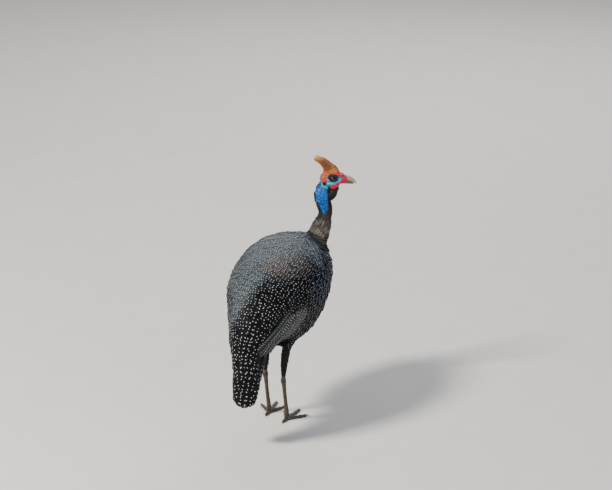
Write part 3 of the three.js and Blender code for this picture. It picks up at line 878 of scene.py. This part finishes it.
def roots_round(stations, spacing_at, fineness, more=((), ())):
    """Staggered feather roots round a line: place, normal, lie, spacing, and place on the unwrap.

    Rings of rays find most of them; more places and normals of the skin are tried in the gaps left."""
    line = through(stations, np.linspace(0, 1, LINE_POINTS))
    steps = np.r_[0, np.cumsum(np.linalg.norm(np.diff(line, axis=0), axis=1))]
    total = steps[-1]
    taken = {}
    kept = []

    def heading(at_mm):
        at, on, before = (
            np.array([np.interp(np.clip(mm, 0, total), steps, line[:, k]) for k in range(3)])
            for mm in (at_mm, at_mm + 2, at_mm - 2)
        )
        ahead = unit(on - before)
        side = unit(LEFTWARD - ahead * (LEFTWARD @ ahead))
        return at, ahead, side, np.cross(side, ahead)

    def grow(place, normal, at_mm, at, ahead, side, over):
        spacing = spacing_at(place)
        if spacing <= 0:
            return
        key = tuple((place // ROOT_CELL).astype(int))
        for step in product((-1, 0, 1), repeat=3):
            for other, need in taken.get(tuple(a + b for a, b in zip(key, step)), ()):
                gap = place - other
                if gap @ gap < need * spacing:
                    return
        near = max(1, int(math.ceil(spacing / ROOT_CELL)) - 1)
        for step in product(range(1 - near, near), repeat=3):
            taken.setdefault(tuple(a + b for a, b in zip(key, step)), []).append((place, spacing))
        # On the breast, which faces the other way, the feathers fall from the collar.
        fall = BREAST_FALL * ramp(-(ahead @ normal), 0.15, 0.7)
        flow = ahead - UP * fall
        lie = unit(flow - normal * (flow @ normal) + 1e-6)
        away = place - at
        turn = (math.atan2(away @ over, away @ side) / (2 * np.pi)) % 1.0
        kept.append((place, normal, lie, spacing, at_mm / total, turn, np.linalg.norm(away)))

    at_mm = 0.5
    while at_mm < total:
        at, ahead, side, over = heading(at_mm)
        start = rng.uniform(0, 2 * np.pi)
        turn = 0.0
        while turn < 2 * np.pi:
            angle = start + turn
            way = side * math.cos(angle) + over * math.sin(angle)
            place, normal, _, reach = skin_tree.ray_cast(at, way)
            if place is None:
                turn += 2 * np.pi / RAYS
                continue
            turn += fineness / max(reach, 5.0)
            grow(np.array(place), np.array(normal), at_mm, at, ahead, side, over)
        at_mm += fineness
    for place, normal in zip(*more):
        at_mm = steps[::10][np.argmin(np.linalg.norm(line[::10] - place, axis=1))]
        grow(place, normal, at_mm, *heading(at_mm))
    return Roots(kept, total)


class Roots:
    """Feather roots as arrays; taking some of them gives another set."""

    NAMES = ("place", "normal", "lie", "spacing", "along", "turn", "reach")

    def __init__(self, kept, total):
        self.total = total
        for k, name in enumerate(self.NAMES):
            setattr(self, name, np.array([root[k] for root in kept], float))

    def take(self, chosen):
        fresh = Roots([], self.total)
        for name in self.NAMES:
            setattr(fresh, name, getattr(self, name)[chosen])
        return fresh


def settle(points):
    """Drops points onto the skin, and gives the skin's way out there."""
    flat = points.reshape(-1, 3)
    places = np.empty_like(flat)
    normals = np.empty_like(flat)
    for i, point in enumerate(flat):
        place, normal, _, _ = skin_tree.find_nearest(point)
        places[i] = place
        normals[i] = normal
    return places.reshape(points.shape), normals.reshape(points.shape)


ACROSS = np.array([-1.0, -0.6, 0.0, 0.6, 1.0])
ALONG = np.array([0.0, 0.22, 0.45, 0.66, 0.82, 0.93, 1.0])
CAMBER = 0.16
VANE_THICK = 0.3


def half_width(share, tip, quill):
    """Half width of a vane along its length, as a share of its widest."""
    shoulder = quill + (1 - quill) * ramp(share, 0, 0.45)
    return shoulder * np.sqrt(np.clip(1 - np.clip((share - tip) / (1 - tip), 0, 1) ** 2, 0.015, 1))


def lift_at(share, across, low, high):
    return low + (high - low) * share**0.8 - CAMBER * (high - low) * across**2


def lay(roots, share, across, long, wide, tip, quill, extra):
    """Places points of each vane, given by share of its length and of its half width."""
    side = np.cross(roots.normal, roots.lie)
    reach = (share * long[:, None])[..., None]
    sway = (across * half_width(share, tip, quill) * wide[:, None])[..., None]
    flat = roots.place[:, None] + roots.lie[:, None] * reach + side[:, None] * sway
    places, normals = settle(flat)
    return places + normals * extra[..., None]


def coat_piece(name, roots, materials, style, dots=None):
    """One joined mesh of vanes, with their spots; style gives the vane's proportions."""
    count = len(roots.place)
    long = roots.spacing * style["long"] * rng.uniform(0.93, 1.07, count)
    wide = roots.spacing * style["wide"] * rng.uniform(0.93, 1.07, count)
    tip = style.get("tip", 0.6)
    quill = style.get("quill", 0.5)
    low = np.full((count, 1), style.get("low", 0.4))
    high = style["depth"](roots)[:, None]
    stops = style.get("along", ALONG)
    share = np.tile(np.repeat(stops, len(ACROSS)), (count, 1))
    across = np.tile(np.tile(ACROSS, len(stops)), (count, 1))
    # A slightly ragged edge, as barbs part there.
    ragged = np.where(np.abs(across) > 0.9, rng.uniform(0.88, 1.06, across.shape), 1.0)
    lift = lift_at(share, across, low, high) + 0.18 * (across == 0) * (share > 0)
    top = lay(roots, share, across * ragged, long, wide, tip, quill, lift)
    under = lay(roots, share, across * ragged, long, wide, tip, quill, lift - VANE_THICK)
    points = np.stack([top, under], axis=1)
    rows, columns = len(stops), len(ACROSS)
    per = rows * columns
    sides = []
    for i in range(rows - 1):
        for j in range(columns - 1):
            a = i * columns + j
            sides.append((a, a + 1, a + columns + 1, a + columns))
            sides.append((per + a, per + a + columns, per + a + columns + 1, per + a + 1))
    rim = list(range(columns))
    rim += [i * columns + columns - 1 for i in range(1, rows)]
    rim += [(rows - 1) * columns + j for j in range(columns - 2, -1, -1)]
    rim += [i * columns for i in range(rows - 2, 0, -1)]
    for a, b in zip(rim, rim[1:] + rim[:1]):
        sides.append((a, per + a, per + b, b))
    sides = np.array(sides)
    all_points = points.reshape(-1, 3)
    all_faces = (sides[None] + (np.arange(count) * 2 * per)[:, None, None]).reshape(-1, 4)
    # Left half of the unwrap for vanes: a small patch at each root's place.
    patch = 0.003
    local_u = np.tile(share, (1, 2)) - 0.5
    local_v = np.tile(across, (1, 2)) / 2
    atlas = np.stack([
        0.01 + roots.along[:, None] * 0.47 + local_u * patch,
        0.01 + roots.turn[:, None] * 0.97 + local_v * patch,
    ], axis=-1).reshape(-1, 2)
    vane = np.stack([
        np.tile(across * wide[:, None], (1, 2)),
        np.tile(share * long[:, None], (1, 2)),
        np.repeat(rng.uniform(0, 1, count)[:, None], 2 * per, axis=1),
    ], axis=-1).reshape(-1, 3)
    jitter = np.repeat(rng.normal(0, style.get("vary", 0.09), count), 2 * per)
    colours = np.clip(style["colour"](all_points, jitter), 0, 1)
    slots = np.zeros(len(all_faces), int)
    faces = all_faces.tolist()
    if dots is not None:
        spots = dots(roots, long, wide)
        on = spots["root"].astype(int)
        spot_points, spot_faces, spot_atlas = spot_lenses(
            roots.take(on), spots, long[on], wide[on], tip, quill, low[on], high[on]
        )
        faces += (spot_faces + len(all_points)).tolist()
        slots = np.r_[slots, np.ones(len(spot_faces), int)]
        all_points = np.vstack([all_points, spot_points])
        atlas = np.vstack([atlas, spot_atlas])
        vane = np.vstack([vane, np.zeros((len(spot_points), 3))])
        colours = np.vstack([colours, np.ones((len(spot_points), 3))])
    piece = new_object(name, all_points, faces, materials, colours)
    mesh = piece.data
    mesh.polygons.foreach_set("material_index", slots)
    layer = mesh.attributes.new("vane", "FLOAT_VECTOR", "POINT")
    layer.data.foreach_set("vector", vane.ravel())
    unwrap = mesh.uv_layers.new(name="OFBake")
    corner = np.empty(len(mesh.loops), int)
    mesh.loops.foreach_get("vertex_index", corner)
    unwrap.data.foreach_set("uv", atlas[corner].ravel())
    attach(piece, "root")
    return piece


SPOT_SIDES = 8
SPOT_FIELDS = ("root", "u_mm", "v_mm", "along_mm", "across_mm", "turn")
SPOT_PROUD = 0.22


def spot_lenses(roots, spots, long, wide, tip, quill, low, high):
    """Thin lenses let into the vanes; each has a place, half sizes and a turn, in the vane's own flat."""
    count = len(long)
    angle = np.linspace(0, 2 * np.pi, SPOT_SIDES, endpoint=False)
    edge_u = np.cos(angle)[None] * spots["across_mm"][:, None]
    edge_v = np.sin(angle)[None] * spots["along_mm"][:, None]
    c, s = np.cos(spots["turn"])[:, None], np.sin(spots["turn"])[:, None]
    u = np.hstack([edge_u * c - edge_v * s, np.zeros((count, 2))]) + spots["u_mm"][:, None]
    v = np.hstack([edge_u * s + edge_v * c, np.zeros((count, 2))]) + spots["v_mm"][:, None]
    share = np.clip(v / long[:, None], 0.0, 0.995)
    broad = half_width(share, tip, quill) * wide[:, None]
    across = np.clip(u / broad, -0.97, 0.97)
    proud = np.hstack([np.full((count, SPOT_SIDES), 0.02), np.full((count, 1), SPOT_PROUD)])
    proud = np.hstack([proud, np.full((count, 1), -VANE_THICK * 0.8)])
    lift = lift_at(share, across, low, high) + proud + 0.1
    points = lay(roots, share, across, long, wide, tip, quill, lift).reshape(-1, 3)
    per = SPOT_SIDES + 2
    sides = []
    for j in range(SPOT_SIDES):
        k = (j + 1) % SPOT_SIDES
        sides.append((j, k, SPOT_SIDES))
        sides.append((k, j, SPOT_SIDES + 1))
    faces = (np.array(sides)[None] + (np.arange(count) * per)[:, None, None]).reshape(-1, 3)
    # Right half of the unwrap for spots, at the spot's own place.
    patch = 0.002
    girth = 2 * np.pi * np.maximum(roots.reach, 6)
    centre_u = 0.51 + (roots.along + spots["v_mm"] / roots.total) * 0.46
    centre_v = 0.01 + (roots.turn + spots["u_mm"] / girth) * 0.97
    ring_u = np.r_[np.cos(angle), 0, 0]
    ring_v = np.r_[np.sin(angle), 0, 0]
    atlas = np.stack([
        centre_u[:, None] + ring_u[None] * patch / 2,
        np.clip(centre_v, 0.01, 0.99)[:, None] + ring_v[None] * patch / 2,
    ], axis=-1).reshape(-1, 2)
    return points, faces, atlas


def feather_finish(name, barb_mm, cross_mm, barb_depth, cross_depth):
    """Soft keratin vanes: matt with a faint silky sheen, finely lined by their barbs."""
    made = Finish(name)
    tint = made.add("VertexColor", {"layer_name": "markings"})
    vane = made.add("Attribute", {"attribute_name": "vane"}).outputs["Vector"]
    parts = made.add("SeparateXYZ", _0=vane)
    away = made.add("Math", {"operation": "ABSOLUTE"}, _0=parts)
    slant = made.add("Math", {"operation": "MULTIPLY_ADD"}, _0=away, _1=-0.8, _2=parts.outputs[1])
    phase = made.add("Math", {"operation": "MULTIPLY"}, _0=slant, _1=2 * math.pi / barb_mm)
    barbs = made.add("Math", {"operation": "SINE"}, _0=phase)
    lined = made.add("MapRange", _0=barbs, _1=-1.0, _2=1.0, _3=1 - barb_depth, _4=1 + barb_depth)
    place = made.add("TexCoord").outputs["Object"]
    fleck = made.add("TexNoise", Vector=place, Scale=per_mm(cross_mm), Detail=3.0, Roughness=0.7)
    worm = made.add("MapRange", _0=fleck, _1=0.35, _2=0.65, _3=1 - cross_depth, _4=1 + cross_depth)
    both = made.add("Math", {"operation": "MULTIPLY"}, _0=lined, _1=worm)
    toned = made.add("VectorMath", {"operation": "SCALE"}, _0=tint, Scale=both)
    silky = made.add("MapRange", _0=fleck, _1=0.3, _2=0.7, _3=0.5, _4=0.7)
    made.shade(Base_Color=toned, Roughness=silky, IOR=1.45)
    made.shade(Specular_IOR_Level=0.18, Sheen_Weight=0.02, Sheen_Tint=(*srgb("#8fb0e8"), 1))
    return made


# Barbs are about 0.3 mm apart on a real feather, too fine to show, so they are drawn coarser.
contour = feather_finish("contour_feather_keratin", 1.3, 1.3, 0.16, 0.5)
hair = feather_finish("short_neck_feather", 0.9, 2.4, 0.12, 0.3)

# The unpigmented barbs of the spots: matt, cool white, a little greyer where they are worn.
white = Finish("white_feather_barbs")
_, whites = mottled(white, 3.0, [(0.3, "#c6d2dc"), (0.65, "#ffffff")], Detail=2.0)
white.shade(Base_Color=whites, Roughness=0.6)

# The bars of the flight feathers: matt and greyer than the spots, as their edges are rubbed.
barred = Finish("grey_feather_bar")
_, greys = mottled(barred, 4.0, [(0.3, "#73797d"), (0.7, "#b9bec0")], Detail=3.0)
barred.shade(Base_Color=greys, Roughness=0.65)

THIGHS = [box_mm("thigh_left"), box_mm("thigh_right")]
NECK_FOOT = np.array([-24.0, -140.0, 300.0])
TAIL_TOP = box_mm("tail")[1][2]


def region(place):
    """Which feathers grow at a place: none, crown, nape, velvet, collar or body."""
    side_mm, back_mm, rise_mm = in_head(place)
    if place[2] > BARE_Z - 6:
        if rise_mm > -14:
            return "crown" if back_mm > 20 and rise_mm < 2 else "none"
        behind_mm, before_mm = blue_edges(rise_mm)
        if -back_mm > before_mm:
            return "velvet"
        if -back_mm < behind_mm + 3.2 and abs(side_mm) < 7.5:
            return "nape"
        return "velvet" if rise_mm < -62 else "none"
    if place[1] < COLLAR_BACK and collar_height(place) > -2:
        return "collar"
    for low, high in THIGHS:
        beside = np.all(place[:2] > low[:2] - 3) and np.all(place[:2] < high[:2] + 3)
        if beside and place[2] < high[2] - 8:
            return "none"
    return "body"


SPOT_PITCH = {"velvet": 1.3, "crown": 1.1, "nape": 1.3, "collar": 2.0, "none": 0.0}
MANTLE_PITCH = 4.1
FLANK_PITCH = 6.1
TAIL_PITCH = 7.2
NECK_PITCH = 3.0  # at the neck's foot


def spacing_at(place):
    kind = region(place)
    if kind != "body":
        return 2 * SPOT_PITCH[kind]
    pitch = MANTLE_PITCH + (FLANK_PITCH - MANTLE_PITCH) * darkness(place[None])[0]
    tail = ramp(TAIL_TOP + 10 - place[2], 0, 50) * (place[1] > 80)
    pitch += (TAIL_PITCH - pitch) * tail
    near_neck = ramp(np.linalg.norm(place - NECK_FOOT), 10, 62)
    pitch = NECK_PITCH + (pitch - NECK_PITCH) * near_neck
    return 2 * pitch


skin_out = normals_of(skin_points, skin_faces)
feathered = np.flatnonzero(skin_points[:, 2] < BARE_Z)
feathered = rng.permutation(feathered[::2])
roots = roots_round(LIE, spacing_at, CANDIDATE, (skin_points[feathered], skin_out[feathered]))
kinds = np.array([region(place) for place in roots.place])


def body_depth(some):
    rough = rng.normal(0, 0.25, len(some.place))
    return BODY_COAT * 0.92 + (NECK_COAT - BODY_COAT) * ramp(some.place[:, 2], *NECK_THINS) + rough


def body_spots(some, long, wide):
    """Two rows of two spots on the part of each vane that shows."""
    pitch = some.spacing / 2
    dark = darkness(some.place)
    low_tail = ramp(TAIL_TOP - some.place[:, 2], 0, 40) * (some.place[:, 1] > 80)
    size = pitch * (0.13 - 0.01 * dark - 0.015 * low_tail)
    number = np.arange(len(pitch))
    spots = []
    for row, column in product((0, 1), (-1, 1)):
        u = column * 0.5 * pitch + rng.normal(0, 0.07, len(pitch)) * pitch
        v = long - (0.55 + row) * pitch + rng.normal(0, 0.07, len(pitch)) * pitch
        grow = rng.uniform(0.82, 1.15, len(pitch))
        turn = column * -0.35 + rng.normal(0, 0.2, len(pitch))
        spots.append((number, u, v, size * grow * (1.05 + 0.15 * dark), size * grow, turn))
    return dict(zip(SPOT_FIELDS, np.hstack(spots)))


# Flight feathers of the folded wing. Long, stiff vanes closed like a fan; only their lower edges show,
# from under the wing's coverts down to the tips over the thigh, each crossed by fine white slanted bars.
FAN_COUNT = 15
FAN_ROOTS = [(72, 44, 262), (76, 36, 254), (79, 26, 246)]
FAN_TIPS = [(31, 161, 177), (37, 138, 164), (44, 108, 157), (49, 80, 158), (56, 56, 166), (66, 40, 184)]
FAN_SHOWS = 0.2  # share of a feather's length where its bars begin
FAN_REACH = 75.0  # from the line that the rows of feathers ring
BAR_PITCH = 4.6
BAR_HALF = (0.55, 2.8)


def fan_roots(way):
    share = np.linspace(0, 1, FAN_COUNT)
    starts, normals = settle(through(FAN_ROOTS, share) * (way, 1, 1))
    ends, _ = settle(through(FAN_TIPS, share) * (way, 1, 1))
    lies = ends - starts
    long = np.linalg.norm(lies, axis=1)
    fan = Roots([], roots.total)
    fan.place = starts
    fan.lie = unit(lies)
    fan.normal = unit(normals - fan.lie * np.sum(normals * fan.lie, axis=1, keepdims=True))
    fan.spacing = long
    fan.along = 0.55 + 0.02 * share
    fan.turn = 0.5 - way * 0.25 + 0.02 * (share - 0.5)
    fan.reach = np.full(FAN_COUNT, FAN_REACH)
    return fan


def fan_depth(some):
    return BODY_COAT + 1.1 - 0.24 * np.arange(len(some.place))


def fan_colour(points, jitter):
    colours = plain("#262826", points)
    colours = blend(colours, "#3f3a33", ramp(95 - points[:, 1], 0, 60) * 0.7)
    return colours * (1 + jitter)[:, None]


def fan_bars(some, long, wide):
    bars = []
    for i, length in enumerate(long):
        for v in np.arange(FAN_SHOWS * length, length - 3, BAR_PITCH * rng.uniform(0.95, 1.05)):
            for edge in (-1, 1):
                bars.append((i, edge * wide[i] * 0.52, v + (edge > 0) * BAR_PITCH / 2, *BAR_HALF, edge * 0.6))
    bars = np.array(bars).T
    bars[-1] += rng.normal(0, 0.12, bars.shape[1])
    return dict(zip(SPOT_FIELDS, bars))


fan_style = {"long": 1.0, "wide": 0.065, "depth": fan_depth, "colour": fan_colour, "tip": 0.86, "quill": 0.7,
             "low": 1.2, "vary": 0.12, "along": np.linspace(0, 1, 21)}
for name, way in SIDES:
    fan = fan_roots(way)
    coat_piece("coat_flight_" + name, fan, [contour.material, barred.material], fan_style, fan_bars)


# Contour feathers over the rest of the body, in joined pieces by region: pale grey over the mantle and
# black over the flanks, rump and tail, each with two rows of white spots.
body_style = {"long": 2.5, "wide": 0.78, "depth": body_depth, "colour": plumage, "tip": 0.58, "quill": 0.6}


def under_fan(points):
    """Whether a root lies under the folded wing's closed flight feathers."""
    hidden = np.zeros(len(points), bool)
    for way in (1, -1):
        fan = fan_roots(way)
        for start, lie, long in zip(fan.place, fan.lie, fan.spacing):
            share = (points - start) @ lie / long
            gap = np.linalg.norm(points - start - np.clip(share, 0, 1)[:, None] * lie * long, axis=1)
            hidden |= (share > FAN_SHOWS + 0.06) & (share < 0.9) & (gap < 13)
    return hidden


RUMP_Y = 96
is_body = (kinds == "body") & ~under_fan(roots.place)
x, y, z = roots.place.T
rear = y > RUMP_Y
upper = z > 262 - 0.12 * y
groups = {
    "coat_rump_and_tail": is_body & rear,
    "coat_mantle_left": is_body & ~rear & upper & (x >= 0),
    "coat_mantle_right": is_body & ~rear & upper & (x < 0),
    "coat_flank_left": is_body & ~rear & ~upper & (x >= 0),
    "coat_flank_right": is_body & ~rear & ~upper & (x < 0),
}
spotted = [contour.material, white.material]
for name, chosen in groups.items():
    coat_piece(name, roots.take(chosen), spotted, body_style, body_spots)


# Neck feathers: short, narrow and soft, grey-brown with pale streaks over the foot of the neck, and black
# velvet up its front, over the throat and in a fringe along the nape.
def collar_colour(points, jitter):
    own = in_head(points)
    turn = np.arctan2(own[:, 1] + 16, own[:, 0])
    colours = plumage(points, jitter * 0)
    streak = ramp(np.sin(turn * 3 + 1.0 + 0.5 * wrinkle(points, 14, 51)), 0.35, 0.95)
    high = ramp(collar_height(points), 7, 15)
    colours = blend(colours, COLLAR_PALE, 0.55 * streak * high)
    colours = blend(colours, COLLAR_DARK, 0.5 * ramp(wrinkle(points, 11, 52), 0.2, 1.0) * high)
    top = ramp(points[:, 2], BARE_Z - 14, BARE_Z + 2)
    colours = blend(colours, "#2d2b2e", 0.8 * top)
    return colours * (1 + jitter)[:, None]


def velvet_colour(points, jitter):
    colours = plain("#262321", points)
    own = in_head(points)
    colours = blend(colours, "#4b463f", 0.6 * ramp(-own[:, 2], 52, 74))
    return colours * (1 + 1.6 * jitter)[:, None]


def nape_colour(points, jitter):
    return plain("#31363c", points) * (1 + 1.5 * jitter)[:, None]


def even_depth(depth):
    return lambda some: depth * rng.uniform(0.85, 1.15, len(some.place))


neck_styles = {
    "collar": ("coat_collar", {"long": 2.7, "wide": 0.6, "depth": body_depth,
                               "colour": collar_colour, "tip": 0.4, "quill": 0.6, "low": 0.2}),
    "velvet": ("coat_throat_velvet", {"long": 2.4, "wide": 0.5, "depth": even_depth(1.0),
                                      "colour": velvet_colour, "tip": 0.35, "low": 0.0}),
    "nape": ("coat_nape_fringe", {"long": 3.0, "wide": 0.16, "depth": even_depth(2.6),
                                  "colour": nape_colour, "tip": 0.2, "low": 0.0}),
    "crown": ("coat_crown_fringe", {"long": 2.8, "wide": 0.2, "depth": even_depth(1.3),
                                    "colour": nape_colour, "tip": 0.2, "low": 0.0}),
}
for kind, (name, style) in neck_styles.items():
    coat_piece(name, roots.take(kinds == kind), [hair.material], style)


# Thigh feathers: short, soft, plain dark ones, close round the leg down to the scaled joint. They root
# on the thigh's skin only, so that they don't crowd the belly's.
def thigh_colour(points, jitter):
    return plain("#1a191b", points) * (1 + jitter)[:, None]


THIGH_SPACING = 5.4
THIGH_TOP = 150.0
THIGH_REACH = 26  # furthest root from the leg's axis
for name, (leg_x, foot_y, hock_y, hock_z) in legs.items():
    top_x = leg_x + (4.5 if name == "left" else -4.5)
    thigh_line = [
        (top_x, hock_y - 16, 156),
        ((top_x + leg_x) / 2, hock_y - 9, 132),
        (leg_x, hock_y - 3, 106),
        (leg_x, hock_y, hock_z + 5),
    ]

    def thigh_spacing(place, leg_x=leg_x, hock_y=hock_y):
        off = math.hypot(place[0] - leg_x, place[1] - hock_y + 6)
        return THIGH_SPACING if place[2] < THIGH_TOP and off < THIGH_REACH else 0.0

    found = roots_round(thigh_line, thigh_spacing, CANDIDATE)
    style = {"long": 2.6, "wide": 0.62, "depth": even_depth(LEG_COAT), "colour": thigh_colour, "low": 0.2}
    coat_piece("coat_thigh_" + name, found, [contour.material], style)

# Floor, light and camera. A pale floor and three soft lamps, the key one high behind the bird on its
# left, seen through the photo's camera. The floor's paint is matt and hardly mottled.
floor_finish = Finish("pale_floor_paint")
_, pale = mottled(floor_finish, 60, [(0, "#d6d4cf"), (1, "#e0deda")], Detail=3.0)
floor_finish.shade(Base_Color=pale, Roughness=0.9)
FLOOR_HALF = 6000.0
corners = np.array([(-1, -1, 0), (1, -1, 0), (1, 1, 0), (-1, 1, 0)]) * FLOOR_HALF
floor = new_object("floor", corners, [(0, 1, 2, 3)], [floor_finish.material])

SKY = (0.86, 0.9, 1.0, 1)
SKY_STRENGTH = 0.3
world = bpy.data.worlds.new("studio")
bpy.context.scene.world = world
world.use_nodes = True
world.node_tree.nodes["Background"].inputs[0].default_value = SKY
world.node_tree.nodes["Background"].inputs[1].default_value = SKY_STRENGTH


def lamp(name, place, aim, power, size, code):
    light = bpy.data.lights.new(name, "AREA")
    light.energy = power
    light.size = size
    light.color = srgb(code)
    holder = bpy.data.objects.new(name, light)
    holder.location = place
    holder.rotation_euler = (Vector(aim) - Vector(place)).to_track_quat("-Z", "Y").to_euler()
    bpy.context.scene.collection.objects.link(holder)


BIRD_MIDDLE = (0.0, 0.0, 0.22)
lamp("key", (1.4, 1.7, 2.6), BIRD_MIDDLE, 170, 0.6, "#fff6ea")
lamp("fill", (-2.4, 1.4, 1.4), BIRD_MIDDLE, 30, 2.0, "#eaf2ff")
lamp("front", (0.4, -2.6, 2.0), BIRD_MIDDLE, 50, 2.0, "#ffffff")

PHOTO_WIDTH = 612
PHOTO_HEIGHT = 490
AZIMUTH = math.radians(202)
ELEVATION = math.radians(19.2)
DISTANCE = 4.7
FOCAL_PIXELS = 2703
SENSOR = 36.0
TARGET = Vector((0, 0, 0.21))
TARGET_PIXEL = (277.1, 303)
back = Vector((
    math.sin(AZIMUTH) * math.cos(ELEVATION),
    -math.cos(AZIMUTH) * math.cos(ELEVATION),
    math.sin(ELEVATION),
))
camera_data = bpy.data.cameras.new("camera")
camera_data.sensor_width = SENSOR
camera_data.lens = FOCAL_PIXELS * SENSOR / PHOTO_WIDTH
camera_data.clip_end = 50
camera = bpy.data.objects.new("camera", camera_data)
bpy.context.scene.collection.objects.link(camera)
camera.location = TARGET + back * DISTANCE
# The camera is turned until the target falls where the photo has it.
ahead = -back
for _ in range(20):
    right = ahead.cross(Vector(UP)).normalized()
    above = right.cross(ahead)
    way = TARGET - camera.location
    x = PHOTO_WIDTH / 2 + FOCAL_PIXELS * way.dot(right) / way.dot(ahead)
    y = PHOTO_HEIGHT / 2 - FOCAL_PIXELS * way.dot(above) / way.dot(ahead)
    ahead = ahead - (TARGET_PIXEL[0] - x) / FOCAL_PIXELS * right
    ahead = (ahead + (TARGET_PIXEL[1] - y) / FOCAL_PIXELS * above).normalized()
camera.rotation_euler = ahead.to_track_quat("-Z", "Y").to_euler()
bpy.context.scene.camera = camera
